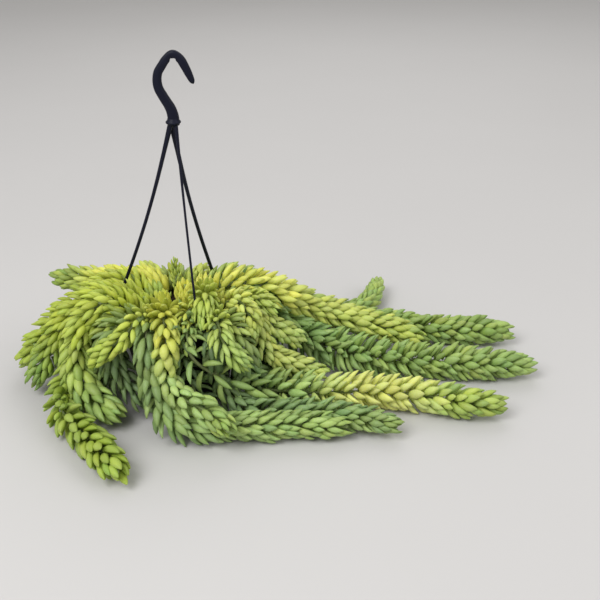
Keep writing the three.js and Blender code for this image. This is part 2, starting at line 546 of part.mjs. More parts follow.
// A tail leaves room for the pot, for the soil apart from its own hole, for the hanger's legs and for
// the tails before it.
const groundHull = potHull().add(soilHull(GAP));
const legs = hangerHull();
const hulls = [];
plants.forEach((tail, k) => {
  const ground = groundHull.subtract(holes[k]);
  let body = solid(tailGeometry(tail)).subtract(ground).subtract(legs);
  for (const hull of hulls) body = body.subtract(hull);
  addPiece(tail.name, largest(body), tail.color, 0.55);
  hulls.push(tailHull(tail));
});

export default part;
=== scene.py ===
"""The looks of a potted burro's tail plant with its hanger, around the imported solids.

Lengths in the tables are millimetres, as in the part's source; everything built is in metres.
"""

from math import cos, pi, radians, sin

import bpy
import numpy as np
from mathutils import Matrix, Vector


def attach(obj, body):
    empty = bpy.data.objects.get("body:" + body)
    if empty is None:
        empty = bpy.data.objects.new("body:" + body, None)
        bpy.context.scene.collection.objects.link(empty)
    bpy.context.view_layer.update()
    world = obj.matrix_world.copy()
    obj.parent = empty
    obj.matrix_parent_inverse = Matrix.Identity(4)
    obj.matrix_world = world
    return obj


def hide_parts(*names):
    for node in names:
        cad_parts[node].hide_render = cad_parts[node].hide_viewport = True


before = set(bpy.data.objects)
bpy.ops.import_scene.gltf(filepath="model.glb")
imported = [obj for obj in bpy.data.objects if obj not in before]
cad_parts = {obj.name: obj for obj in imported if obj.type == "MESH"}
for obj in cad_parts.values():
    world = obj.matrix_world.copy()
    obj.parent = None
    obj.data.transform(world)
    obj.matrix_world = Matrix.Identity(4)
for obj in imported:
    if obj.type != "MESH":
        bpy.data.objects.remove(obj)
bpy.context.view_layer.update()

MM = 0.001
UP = np.array([0.0, 0.0, 1.0])
SEED = 41

# Pot, soil and hanger, as in the part's source
POT_HEIGHT = 105
POT_BASE_RADIUS = 50
POT_MOUTH_RADIUS = 68
POT_WALL = 1.6
POT_FLOOR = 2
RIM_RADIUS = 75
RIM_THICKNESS = 1.8
RIM_SKIRT = 9
DRAIN_HOLES = 6
DRAIN_RADIUS = 4
DRAIN_CIRCLE = 34
SOIL_TOP = 95
SOIL_CROWN = 4
SOIL_NARROWER = 1.7        # how much less the pot's radius is at the soil's top than at its mouth
FIT = 0.35
COLLAR = np.array([10.0, 0.0, 315.0])
HOOK_LINE = [(0.5, -3), (0.5, 4), (-1.5, 13.5), (-8.5, 27), (-12, 34.5), (-13, 42), (-11.5, 50.5),
             (-7, 57.5), (-2.5, 63.5), (4.5, 68.5), (11.5, 64), (15.5, 57), (23.5, 38.5)]
HOOK_RADII = [(0, 6), (0.08, 5.8), (0.2, 5), (0.5, 4.5), (0.66, 4.2), (0.8, 4.4), (0.9, 3.9),
              (0.96, 3.1), (1, 2)]
SEAT_X = 14.5              # the flat under the hook's bend: its middle and its height
SEAT_Z = 379.8
# Degrees round the rim, inward bow, radius, and where the head stands from the collar's centre
LEGS = [(168, 4.5, 1.8, (-3, 0)), (293, 3, 1.2, (3, -3)), (59, 5.5, 1.8, (-2.5, 3))]
LEG_HEAD = 2
CLIP_CIRCLE = 71.4
CLIP_THICKNESS = 2.2
CLIP_WIDTH = 6
CLIP_SLOT = 7.4
CLIP_TOP = 4.5
BARB_HEIGHT = 3

# Finer shapes of the pot, the hanger and the soil
POT_SIDES = 96
HOLE_SIDES = 24
EDGE_CUT = 0.45            # how far from a corner of the pot's section its arc starts
SHARP_ANGLE = radians(38)
HOOK_DEPTH = 0.86          # the hook's thickness, as a share of its width
HOOK_TIP = 0.03            # the hook's end is rounded over this share of its length
SEAT_HALF = 3              # the seat's half length
SEAT_LOWEST = 372          # only the bend is higher than this
COLLAR_OUTLINE = [(-4, 3.5), (-3.6, 5), (-2.4, 5.4), (-1.8, 6.9), (-1, 7.7), (0, 8), (0.8, 7.6),
                  (1.6, 6.6), (2.4, 6.1), (4, 5.8)]      # heights and radii
LEG_SHAPE = [(0, 1), (0.6, 1), (0.85, 1.2), (1, 1.5)]    # thickening from foot to head
CLIP_RINGS = 8
SOIL_SIDES = 72
SOIL_ROUGH = 0.55
SOIL_UNDER = [(0.75, 2.4), (0.76, 3.2), (0.88, 50)]      # shares of the radius, and heights
CRUMBS = 620

# Leaf grid: shares of the length at which its rings stand, and the shape of its outline
LEAF_STATIONS = np.array([0.0, 0.03, 0.16, 0.36, 0.58, 0.79, 0.94, 1.0])
LEAF_SIDES = 8
LEAF_BASE_POWER = 0.68
LEAF_TIP_POWER = 0.8
LEAF_OUTER = 0.84          # thickness of the outer face, as a share of the half width
LEAF_INNER = 0.62

# How leaves stand on a stem
GOLDEN_ANGLE = radians(137.508)
FIRST_SIDE = (0.3, 0.9, 0.1)
STEM_GAP = 2               # between the rings of a stem
STEM_RADIUS = 2            # at the root, and STEM_TAPER less at the tip
STEM_TAPER = 0.8
CORE_DEPTH = 2             # the most that a leaf's foot stands out of the full stem
LEAF_FORWARD = 0.75        # how far a leaf's tip lies ahead of its foot, in leaf lengths
LEAF_SPAN = 0.95           # from foot to tip, in leaf lengths
TIP_ROOM = 1               # left between a leaf's tip and the reach
SINES = (0.12, 0.97)       # least and most of the sine of a leaf's spread
LENGTHS = (0.8, 1.2)       # least and most of a leaf's length, as a share of what the stem gives
BUD_START = 1.1            # where the end bud starts and where its last leaf stands, in leaf
BUD_ROOM = 0.3             # lengths before the end of the tail
BUD_SHORTER = 0.25         # how much shorter its last leaf is, and how much less it spreads
BUD_CLOSING = 0.75
# Standard deviations from leaf to leaf: radians for turn and spread, parts of 1 for the rest
VARY = dict(turn=0.13, length=0.07, spread=0.08, deep=0.05, gold=0.09, bloom=0.08, curl=0.25,
            width=0.06, lift=0.05)

# How clear leaves stay of the pot, the soil and the ground
START_RADIUS = 66          # a leaf whose foot is nearer to the axis than this, and over
START_HEIGHT = 90          # this height, grows over the soil
SOIL_RADIUS = 63           # up to here a leaf stays SOIL_CLEAR over the soil, then over the rim
SOIL_CLEAR = 3
RIM_CLEAR = 0.5
BARE_RADIUS = 70           # a stem nearer to the axis has leaves only over the soil
GROUND_CLEAR = 0.6         # under a leaf's section where it lies on the ground
LOWEST_POINT = 0.4         # no point of a leaf is lower

STEM_DEPTH = 84            # height at which a stem ends in the soil


def tail(name, slot, line, reach, leaf=22, step=1.25, gold=0.4, bloom=0.3, deep=0.0, lift=0.06,
         plump=0.33, curl=46, core=3.0, neck=11, neck_end=0.5):
    """One leafy stem. Lists of (share of the stem, value) hold what changes from root to tip.

    line and reach are those of the part's source, but for the line's end in the soil, which is
    added here. leaf is the length of a leaf, step the stretch of stem that each leaf has, gold and
    bloom its yellow and its pale wax from 0 to 1, deep its painted shade from 0 to 1, the darkness
    painted on where the stem runs into shade inside the plant, lift how far it bends to the light,
    plump its width as a share of its length, curl its bend in degrees, core the distance of its foot
    from the centre line, and neck the least reach of the leaves up to the share neck_end.
    """
    x, y, _ = line[0]
    return dict(name=name, slot=slot, line=[(x, y, STEM_DEPTH)] + line, reach=reach, leaf=leaf,
                step=step, gold=gold, bloom=bloom, deep=deep, lift=lift, plump=plump, curl=curl,
                core=core, neck=neck, neck_end=neck_end)


def close_tail(name, line, **other):
    """A stem that hangs close to the pot, where its leaves go from gold to blue-green."""
    looks = dict(reach=[(0.2, 3), (0.35, 10), (0.9, 12), (1, 8)], step=1.9, plump=0.3,
                 gold=[(0.3, 0.6), (0.5, 0.1)], bloom=[(0.3, 0.2), (0.5, 0.5)])
    return tail(name, "leaf_blue", line, **(looks | other))


# Each tail's darkening mark is painted shade, set where its stem runs into the shade inside the plant
TAILS = [
    tail("braid_front", "leaf_yellow",
         [(-8, -30, 101), (-8, -48, 119), (-7, -70, 124), (-3, -90, 112), (-4, -95, 93), (-7, -96, 75),
          (0, -101, 60), (13, -115, 52), (29, -123, 48), (42, -131, 42), (60, -147, 33)],
         [(0.07, 3), (0.16, 23), (0.27, 19), (0.38, 13), (0.6, 12), (0.75, 14), (0.92, 14), (1, 9)],
         leaf=[(0, 27), (0.2, 27), (0.3, 22), (0.4, 19), (0.62, 20), (0.8, 23), (1, 19)],
         step=[(0, 1.3), (0.35, 1.3), (0.45, 2), (0.85, 2.1), (1, 1.5)],
         plump=[(0.2, 0.29), (0.32, 0.36), (0.42, 0.5), (0.6, 0.48), (0.8, 0.4), (1, 0.36)],
         core=[(0.3, 2.5), (0.45, 4), (1, 4)],
         gold=[(0.2, 0.7), (0.36, 0.65), (0.5, 0.5), (0.58, 0.2), (0.85, 0.1), (0.95, 0.15)],
         bloom=[(0.2, 0.05), (0.36, 0.2), (0.48, 0.55), (0.6, 0.8), (0.82, 0.6), (0.95, 0.3)],
         deep=[(0.2, 0.17), (0.36, 0.18), (0.5, 0.02), (0.65, 0.1), (0.8, 0.18)],
         curl=[(0.2, 30), (0.4, 60), (1, 55)]),
    tail("tail_right_high", "leaf_yellow",
         [(38, 14, 101), (50, 14, 118), (70, 16, 122), (94, 18, 116), (118, 27, 102), (138, 38, 87),
          (165, 49, 70), (197, 56, 55), (229, 54, 45), (256, 51, 37), (280, 48, 28)],
         [(0.05, 3), (0.13, 18), (0.36, 20), (0.5, 18), (0.9, 17), (1, 10)],
         leaf=[(0, 22), (0.4, 24), (0.7, 23), (1, 20)], plump=[(0.3, 0.34), (0.7, 0.4)], core=5,
         gold=[(0.1, 0.9), (0.35, 0.75), (0.5, 0.55), (0.8, 0.5), (1, 0.35)],
         bloom=[(0.2, 0.35), (0.6, 0.5), (1, 0.25)], lift=[(0, 0.35), (0.5, 0.25), (1, 0.1)]),
    tail("tail_front", "leaf_green",
         [(-22, -46, 101), (-25, -66, 112), (-26, -85, 101), (-23, -90, 78), (-16, -97, 54),
          (-5, -109, 33), (13, -115, 24), (36, -116, 20), (64, -115, 18), (98, -116, 17),
          (133, -114, 17), (160, -116, 17), (183, -118, 16)],
         [(0.1, 3), (0.15, 9), (0.26, 11), (0.36, 21), (0.46, 24), (0.6, 17), (0.9, 16), (1, 11)],
         leaf=[(0, 25), (0.4, 30), (0.47, 29), (0.58, 24), (1, 20)],
         step=[(0, 2), (0.3, 1.7), (0.5, 1.4), (1, 1.2)], core=[(0.4, 3), (0.55, 4), (1, 4)],
         gold=[(0.3, 0.15), (0.6, 0.2), (1, 0.3)], bloom=[(0.3, 0.5), (0.6, 0.6), (1, 0.35)],
         deep=[(0.33, 0.6), (0.4, 0.3), (0.6, 0.12)], lift=[(0.3, -0.2), (0.45, -0.15), (0.6, 0.12)]),
    tail("tail_right_front", "leaf_yellow",
         [(14, -40, 101), (12, -62, 112), (14, -84, 101), (24, -89, 84), (36, -83, 68), (52, -71, 50),
          (72, -61, 35), (99, -55, 25), (125, -55, 22), (151, -59, 22), (199, -58, 22), (232, -60, 21),
          (265, -65, 20), (296, -73, 19), (325, -82, 19), (352, -85, 18)],
         [(0.2, 3), (0.27, 14), (0.34, 25), (0.5, 27), (0.6, 24), (0.7, 22), (0.9, 20), (1, 12)],
         leaf=[(0, 26), (0.35, 29), (0.5, 28), (0.65, 25), (1, 22)],
         step=[(0, 3), (0.18, 4), (0.22, 7), (0.3, 5), (0.36, 1.8), (0.5, 1.3), (1, 1.3)],
         plump=[(0.3, 0.26), (0.55, 0.3), (0.75, 0.38), (1, 0.42)],
         gold=[(0.48, 0.1), (0.56, 0.55), (0.62, 0.95), (0.76, 0.9), (0.86, 0.3), (1, 0.15)],
         bloom=[(0.45, 0.6), (0.6, 0.95), (0.78, 0.95), (0.88, 0.3), (1, 0.2)],
         deep=[(0.3, 0.35), (0.5, 0.1), (0.6, 0)], lift=0.15, curl=[(0.3, 70), (0.5, 65), (0.65, 46)],
         neck=27, neck_end=0.52),
    tail("tail_right_middle", "leaf_green",
         [(52, 20, 100), (70, 25, 113), (94, 31, 96), (112, 36, 72), (138, 35, 47), (168, 30, 32),
          (195, 23, 27), (226, 15, 24), (262, 10, 22), (295, 6, 21), (330, 2, 20), (365, 0, 19),
          (403, -1, 17)],
         [(0.07, 3), (0.2, 14), (0.32, 27), (0.5, 29), (0.7, 24), (0.9, 20), (1, 12)],
         leaf=[(0, 24), (0.2, 28), (0.45, 29), (0.6, 26), (1, 22)],
         step=[(0, 1.4), (0.14, 0.7), (0.3, 0.75), (0.5, 0.95), (1, 1.2)],
         plump=[(0.4, 0.3), (0.7, 0.35), (1, 0.41)],
         gold=[(0.3, 0.1), (0.6, 0.2), (0.8, 0.3), (1, 0.2)],
         bloom=[(0.3, 0.55), (0.7, 0.35), (1, 0.45)], deep=[(0.2, 0.22), (0.5, 0.06), (0.65, 0.08)],
         lift=[(0.3, 0), (0.6, 0.15)], neck=27),
    tail("tail_right_rear", "leaf_green",
         [(44, 34, 100), (63, 40, 111), (86, 56, 104), (108, 70, 88), (136, 82, 66), (166, 93, 46),
          (197, 103, 32), (227, 107, 24), (251, 104, 21), (279, 95, 20), (313, 87, 19), (357, 84, 19),
          (395, 80, 18)],
         [(0.06, 3), (0.16, 14), (0.5, 17), (0.8, 19), (0.92, 19), (1, 12)],
         leaf=[(0, 22), (0.7, 24), (1, 22)], plump=[(0.4, 0.33), (0.8, 0.41)], core=4,
         gold=[(0.2, 0.8), (0.4, 0.35), (0.6, 0.25), (1, 0.25)], bloom=[(0.2, 0.15), (0.4, 0.3)],
         deep=[(0.4, 0), (0.7, 0.08), (1, 0.05)]),
    tail("tail_left_curled", "leaf_bright",
         [(-46, -22, 101), (-60, -26, 120), (-78, -31, 125), (-96, -38, 111), (-108, -41, 86),
          (-112, -46, 62), (-107, -54, 42), (-94, -65, 29), (-79, -77, 22), (-64, -89, 20)],
         [(0.08, 3), (0.2, 17), (0.6, 18), (0.75, 20), (0.93, 19), (1, 12)],
         leaf=[(0, 21), (0.5, 22), (0.7, 31), (0.92, 34), (1, 29)],
         step=[(0, 1.3), (0.5, 1.35), (0.72, 2.2), (1, 2.1)],
         plump=[(0.5, 0.35), (0.7, 0.36), (1, 0.34)], core=[(0.5, 5), (0.7, 3), (1, 3)],
         gold=[(0.2, 0.75), (0.5, 0.6), (0.7, 0.3), (1, 0.15)],
         bloom=[(0.4, 0.15), (0.8, 0.45), (1, 0.4)], deep=[(0.6, 0), (0.8, 0.15), (1, 0.2)], lift=0.05),
    tail("tail_left_front", "leaf_bright",
         [(-56, -8, 100), (-72, -12, 112), (-88, -15, 100), (-96, -18, 80), (-108, -20, 58),
          (-120, -24, 40), (-128, -35, 27), (-131, -60, 20), (-121, -88, 20), (-99, -117, 19),
          (-76, -148, 19), (-57, -174, 19), (-46, -192, 18)],
         [(0.08, 3), (0.2, 10), (0.45, 18), (0.75, 20), (0.92, 19), (1, 12)],
         leaf=[(0, 22), (0.5, 27), (0.8, 33), (1, 31)], step=[(0, 1.4), (0.5, 1.9), (1, 2.2)],
         plump=[(0.5, 0.32), (0.8, 0.34)], gold=[(0.3, 0.45), (0.6, 0.4), (1, 0.42)],
         bloom=[(0.3, 0.2), (1, 0.1)], deep=[(0.5, 0.15), (0.8, 0.1)], lift=0,
         curl=[(0.4, 46), (0.6, 25), (1, 25)]),
    tail("tail_left_low", "leaf_bright",
         [(-42, 0, 101), (-54, -4, 119), (-74, -8, 124), (-100, -9, 114), (-124, -8, 93),
          (-144, -8, 65), (-157, -6, 42), (-166, -9, 28), (-171, -18, 20)],
         [(0.09, 3), (0.22, 16), (0.5, 19), (0.88, 18), (1, 12)],
         core=5, gold=[(0.2, 0.8), (0.6, 0.6), (0.8, 0.25), (1, 0.1)], bloom=[(0.5, 0.08), (1, 0.2)],
         deep=[(0.3, 0.05), (0.6, 0.1), (1, 0.35)]),
    tail("tail_left_long", "leaf_bright",
         [(-42, 20, 101), (-57, 33, 117), (-77, 33, 117), (-106, 26, 105), (-136, 23, 85),
          (-163, 22, 56), (-181, 24, 36), (-194, 27, 23)],
         [(0.08, 3), (0.22, 16), (0.55, 19), (0.88, 18), (1, 11)],
         core=5, gold=[(0.2, 0.85), (0.6, 0.65), (1, 0.4)], bloom=0.05, deep=[(0.5, 0.05), (1, 0.12)],
         lift=0.2),
    tail("tail_left_rear_high", "leaf_yellow",
         [(-22, 34, 101), (-36, 48, 113), (-62, 52, 115), (-94, 62, 109), (-126, 75, 105),
          (-157, 89, 101)],
         [(0.09, 3), (0.24, 14), (0.6, 16), (0.88, 15), (1, 11)],
         core=4, gold=[(0.2, 0.95), (0.55, 0.85), (0.72, 0.3), (1, 0.1)],
         bloom=[(0.4, 0.25), (0.8, 0.15)], deep=[(0.6, 0), (0.8, 0.25), (1, 0.3)], lift=0.2),
    tail("tail_left_under", "leaf_green",
         [(-45, 33, 100), (-63, 47, 112), (-86, 58, 98), (-114, 64, 72), (-146, 63, 44), (-169, 59, 28),
          (-188, 53, 19)],
         [(0.1, 3), (0.25, 11), (0.5, 18), (0.88, 17), (1, 11)],
         core=4, gold=[(0.3, 0.4), (1, 0.35)], bloom=0.2, deep=0.25),
    tail("braid_left_short", "leaf_bright",
         [(-30, -32, 101), (-33, -52, 118), (-38, -71, 120), (-47, -80, 111), (-58, -82, 102),
          (-70, -81, 93), (-86, -79, 80)],
         [(0.12, 3), (0.3, 14), (0.5, 12), (0.88, 13), (1, 9)],
         leaf=[(0, 20), (0.4, 17), (0.8, 18), (1, 16)], step=[(0, 1.5), (0.5, 1.7), (1, 1.4)],
         plump=0.4, core=3.5, gold=[(0.2, 0.85), (0.5, 0.75), (0.75, 0.5), (1, 0.35)],
         bloom=[(0.4, 0.3), (1, 0.1)]),
    tail("rosette_front", "leaf_bright",
         [(30, -10, 110), (32, -22, 128), (34, -42, 135), (34, -60, 130), (35, -70, 118)],
         [(0.25, 3), (0.5, 15), (0.85, 17), (1, 9)],
         leaf=[(0.3, 20), (0.6, 24), (1, 23)], step=[(0, 1.6), (0.5, 1), (1, 0.9)], plump=0.27,
         gold=[(0.3, 0.95), (0.6, 0.7), (1, 0.4)], bloom=[(0.4, 0.25), (1, 0.35)],
         lift=[(0.4, 0.5), (0.6, 0.1), (0.75, -0.5), (1, -0.5)]),
    tail("tail_yellow_droop", "leaf_yellow",
         [(46, -22, 101), (57, -28, 120), (69, -35, 125), (79, -43, 117), (83, -50, 106), (85, -56, 95)],
         [(0.13, 3), (0.32, 14), (0.85, 13), (1, 9)],
         leaf=[(0.3, 16), (0.8, 15), (1, 13)], step=1.1, plump=0.46, core=4,
         gold=[(0.4, 0.8), (0.75, 0.55), (1, 0.3)], bloom=[(0.4, 0.5), (1, 0.4)], lift=-0.05),
    tail("tail_green_droop", "leaf_bright",
         [(33, -33, 101), (45, -56, 117), (50, -75, 117), (54, -85, 105), (64, -84, 88), (78, -79, 71)],
         [(0.15, 3), (0.34, 14), (0.7, 15), (0.9, 15), (1, 10)],
         leaf=[(0.3, 18), (0.8, 20), (1, 17)], step=1.1, plump=0.32,
         gold=[(0.3, 0.85), (0.5, 0.65), (0.7, 0.25), (1, 0.25)],
         bloom=[(0.3, 0.3), (0.7, 0.6), (1, 0.4)], lift=[(0.4, 0.2), (0.6, 0)], neck=16, neck_end=0.55),
    tail("sprig_edge", "leaf_yellow",
         [(23, -27, 101), (21, -40, 119), (17, -54, 124), (14, -65, 120), (13, -73, 111)],
         [(0.22, 3), (0.42, 12), (0.85, 13), (1, 8)],
         leaf=[(0.3, 20), (1, 17)], step=1.3, plump=0.28, gold=[(0.4, 0.85), (1, 0.6)], bloom=0.2),
    tail("sprig_dark", "leaf_green",
         [(23, -52, 101), (20, -66, 113), (17, -77, 112), (18, -85, 104), (20, -89, 95)],
         [(0.22, 3), (0.5, 10), (0.85, 11), (1, 7)],
         leaf=[(0.3, 15), (1, 12)], step=1.4, plump=0.42, gold=0.3, bloom=[(0.4, 0.4), (1, 0.3)],
         deep=0.15, neck=8),
    tail("tail_small_droop", "leaf_bright",
         [(46, 2, 100), (66, -6, 115), (88, -13, 118), (102, -17, 111), (109, -19, 104)],
         [(0.16, 3), (0.4, 12), (0.85, 12), (1, 9)],
         leaf=[(0.3, 16), (0.8, 16), (1, 12)], step=1.1, plump=0.36, gold=[(0.4, 0.8), (1, 0.45)],
         bloom=0.4),
    tail("braid_right_upper", "leaf_yellow",
         [(56, 8, 100), (74, 4, 112), (90, -10, 102), (98, -18, 92), (112, -13, 80), (127, -10, 67),
          (136, -8, 58)],
         [(0.15, 3), (0.35, 8), (0.5, 14), (0.88, 13), (1, 9)],
         leaf=[(0, 18), (0.8, 18), (1, 16)], step=1.4, plump=0.4, gold=[(0.4, 0.6), (1, 0.35)],
         bloom=0.6),
    tail("braid_right_lower", "leaf_yellow",
         [(54, -14, 100), (70, -22, 112), (85, -30, 104), (91, -34, 87), (95, -34, 70), (109, -29, 52),
          (129, -24, 38), (148, -21, 29), (163, -21, 25)],
         [(0.2, 3), (0.4, 6), (0.52, 15), (0.88, 15), (1, 10)],
         leaf=[(0, 18), (0.8, 19), (1, 16)], step=1.4, plump=0.38,
         gold=[(0.4, 0.55), (0.8, 0.55), (0.9, 0.35), (1, 0.2)],
         bloom=[(0.4, 0.6), (0.85, 0.7), (1, 0.15)]),
    tail("tail_right_short", "leaf_blue",
         [(33, -46, 101), (40, -63, 110), (43, -76, 99), (42, -75, 84), (42, -70, 66), (48, -66, 46),
          (57, -70, 30), (74, -81, 20), (98, -90, 18), (125, -91, 18), (158, -93, 18), (195, -103, 17),
          (236, -119, 16)],
         [(0.12, 3), (0.18, 9), (0.4, 10), (0.52, 16), (0.9, 16), (1, 10)],
         leaf=[(0, 24), (0.7, 23), (1, 20)], step=[(0, 2.4), (0.45, 2), (0.6, 1.4), (1, 1.2)],
         gold=[(0.5, 0.05), (0.8, 0.15), (1, 0.4)], bloom=[(0.5, 0.55), (0.8, 0.35), (1, 0.1)],
         deep=[(0.35, 0.8), (0.5, 0.5), (0.65, 0.2), (0.8, 0.05)], lift=0.15),
    tail("tail_rear_small", "leaf_green",
         [(34, 44, 101), (50, 56, 114), (66, 74, 105), (93, 102, 72), (126, 130, 38), (165, 140, 23),
          (195, 144, 20), (217, 157, 19), (230, 183, 17), (239, 212, 17), (244, 236, 16)],
         [(0.08, 3), (0.13, 9), (0.25, 16), (0.6, 16), (0.9, 13), (1, 9)],
         gold=[(0.3, 0.5), (0.7, 0.3), (1, 0.35)]),
    tail("tail_back_right", "leaf_green",
         [(10, 54, 101), (17, 76, 108), (26, 98, 94), (34, 120, 68), (46, 145, 41), (58, 175, 23),
          (68, 208, 17)],
         [(0.1, 3), (0.24, 9), (0.4, 14), (0.6, 18), (0.88, 16), (1, 10)],
         leaf=[(0, 17), (0.3, 17), (0.5, 22)], core=4, gold=[(0.3, 0.85), (0.7, 0.4), (1, 0.3)],
         bloom=[(0.3, 0.1), (0.7, 0.3)], neck=7),
    tail("tail_back_middle", "leaf_bright",
         [(-10, 54, 101), (-12, 76, 108), (-14, 98, 98), (-13, 122, 75), (-8, 146, 44), (0, 178, 24),
          (10, 214, 17)],
         [(0.1, 3), (0.24, 10), (0.4, 15), (0.6, 18), (0.88, 16), (1, 10)],
         leaf=[(0, 17), (0.3, 17), (0.5, 22)], core=4, gold=[(0.3, 0.7), (0.7, 0.5), (1, 0.4)],
         bloom=[(0.3, 0.1), (0.7, 0.25)], deep=[(0.25, 0.4), (0.4, 0)], neck=7),
    tail("tail_back_left", "leaf_green",
         [(-26, 49, 100), (-41, 72, 110), (-53, 92, 98), (-66, 112, 71), (-82, 134, 41), (-99, 162, 22),
          (-113, 192, 17)],
         [(0.1, 3), (0.24, 14), (0.6, 18), (0.88, 16), (1, 10)],
         core=4, gold=[(0.3, 0.85), (0.7, 0.35), (1, 0.25)], bloom=[(0.3, 0.1), (0.7, 0.35)]),
    tail("tail_back_outer", "leaf_bright",
         [(-37, 43, 100), (-60, 63, 110), (-80, 80, 96), (-100, 98, 68), (-124, 112, 38),
          (-154, 120, 20), (-182, 122, 17)],
         [(0.12, 3), (0.3, 10), (0.55, 17), (0.88, 16), (1, 10)],
         core=4, gold=[(0.3, 0.8), (1, 0.4)], bloom=[(0.3, 0.1), (0.7, 0.3)]),
    tail("tail_shade_left", "leaf_blue",
         [(-36, -42, 100), (-51, -57, 110), (-65, -63, 98), (-65, -64, 76), (-58, -64, 52),
          (-47, -66, 36), (-31, -67, 25), (-12, -70, 18)],
         [(0.14, 3), (0.3, 11), (0.7, 15), (0.9, 13), (1, 9)],
         leaf=[(0, 23), (0.4, 27), (1, 24)], step=[(0.3, 1.6), (0.6, 2)], plump=0.28,
         gold=[(0.3, 0.4), (0.45, 0.05)], bloom=[(0.3, 0.25), (0.5, 0.5)],
         deep=[(0.25, 0.2), (0.42, 0.75)], neck=18, neck_end=0.85),
    tail("tail_shade_low", "leaf_blue",
         [(42, -38, 100), (58, -56, 110), (70, -62, 97), (73, -60, 76), (76, -52, 52), (86, -40, 32),
          (104, -26, 20), (126, -20, 17), (150, -18, 16)],
         [(0.14, 3), (0.3, 9), (0.6, 13), (0.9, 14), (1, 9)],
         leaf=[(0, 21), (0.3, 23), (0.45, 27), (1, 24)], step=1.2, plump=0.3,
         gold=[(0.28, 0.6), (0.4, 0.05)], bloom=[(0.28, 0.2), (0.4, 0.5)],
         deep=[(0.28, 0.1), (0.42, 0.6)], neck=18, neck_end=0.85),
    tail("tail_shade_outer", "leaf_green",
         [(-47, -32, 100), (-61, -41, 110), (-73, -48, 98), (-77, -47, 78), (-81, -42, 56),
          (-90, -37, 36), (-101, -39, 23)],
         [(0.15, 3), (0.3, 11), (0.6, 14), (0.9, 13), (1, 9)],
         leaf=[(0, 22), (0.3, 23), (0.6, 27), (1, 24)], step=[(0.3, 1.3), (0.6, 1.4)],
         plump=[(0.3, 0.33), (0.6, 0.28)], gold=[(0.4, 0.55), (0.6, 0.1)],
         bloom=[(0.4, 0.2), (0.6, 0.5)], deep=[(0.35, 0.1), (0.55, 0.75)], neck=16, neck_end=0.85),
    tail("tail_shade_front", "leaf_blue",
         [(2, -50, 101), (5, -66, 110), (7, -79, 100), (10, -76, 84), (13, -74, 64), (17, -72, 44),
          (26, -76, 26), (42, -84, 18)],
         [(0.2, 3), (0.3, 9), (0.6, 12), (0.9, 12), (1, 8)],
         leaf=[(0, 25), (1, 23)], step=2.4, plump=0.26, gold=0.05, bloom=0.5, deep=0.85, neck=20,
         neck_end=0.85),
    close_tail("tail_shade_right",
               [(56, -3, 100), (71, -1, 109), (85, 3, 98), (87, 6, 76), (91, 9, 52), (102, 9, 30),
                (119, 6, 19)],
               leaf=[(0, 21), (0.35, 23), (0.5, 27), (1, 25)], step=1.2, plump=0.34, core=4,
               deep=[(0.3, 0.1), (0.5, 0.5)], neck=18, neck_end=0.85),
    close_tail("tail_shade_back",
               [(0, 49, 100), (0, 66, 110), (1, 80, 99), (0, 84, 77), (-1, 90, 52), (3, 104, 29),
                (7, 121, 18)],
               leaf=[(0, 17), (0.3, 18), (0.5, 26), (1, 24)], deep=0.3, neck=8, neck_end=0.3),
    close_tail("tail_shade_back_left",
               [(-18, 52, 100), (-25, 65, 110), (-31, 78, 99), (-34, 82, 76), (-38, 91, 50),
                (-48, 105, 28), (-58, 121, 18)],
               leaf=[(0, 17), (0.3, 18), (0.5, 26), (1, 24)], deep=0.3, neck=8, neck_end=0.3),
    close_tail("tail_shade_side",
               [(-55, 6, 100), (-70, 1, 110), (-84, 3, 98), (-88, 8, 76), (-94, 13, 52), (-106, 18, 31),
                (-122, 24, 19)],
               leaf=[(0, 21), (0.35, 23), (0.5, 26), (1, 24)], deep=[(0.3, 0.1), (0.5, 0.35)], neck=14,
               neck_end=0.85),
]

# Short upright shoots: name, slot, place, height of the tip, reach, yellow, wax, neck
SHOOTS = [
    ("shoot_yellow", "leaf_yellow", (6, 8), 138, 14, 1.0, 0.25, 14),
    ("shoot_tall", "leaf_bright", (-6, 38), 148, 7, 0.6, 0.3, 4),
    ("shoot_pale", "leaf_yellow", (22, 30), 132, 13, 1.0, 0.4, 13),
    ("shoot_left", "leaf_bright", (-24, 14), 133, 14, 0.5, 0.3, 14),
    ("shoot_centre", "leaf_yellow", (-14, -10), 136, 13, 0.75, 0.15, 14),
    ("shoot_front", "leaf_yellow", (11, -14), 139, 13, 1.0, 0.25, 13),
    ("shoot_left_front", "leaf_bright", (-30, -14), 135, 12, 0.75, 0.2, 13),
    ("shoot_rear", "leaf_bright", (6, 46), 126, 11, 0.6, 0.3, 12),
]
SHOOT_LEAN = 0.12          # how far a short shoot leans outwards, as a share of its place
SHOOT_FOOT = 101           # up to this height it is upright
SHOOT_BEND = 118           # here it leans once the share, and at its end SHOOT_OUT times
SHOOT_RISE = 7             # its end is at least this much higher than the bend
SHOOT_OUT = 1.6
SHOOT_TIP = 0.9            # its stem ends this share of the reach under its top

# The photograph's view: metres, degrees and millimetres
CAMERA_PLACE = (0.1362, -0.947, 0.576)
CAMERA_PITCH = 26.3
CAMERA_ROLL = 1.2
CAMERA_LENS = 56.4
CAMERA_SENSOR = 36.0

# The stage, in metres: lights as name, place, size and power
FLOOR_HALF = 8.0
LIT_POINT = Vector((0.08, 0, 0.05))
LIGHTS = [("key", (-1.0, -1.3, 2.0), 1.5, 46.0), ("fill", (1.8, -0.8, 1.6), 1.6, 14.0),
          ("back", (0.3, 1.8, 1.8), 1.6, 12.0)]
SKY_COLOUR = (0.86, 0.85, 0.83, 1)
SKY_STRENGTH = 0.62


# Shader maths

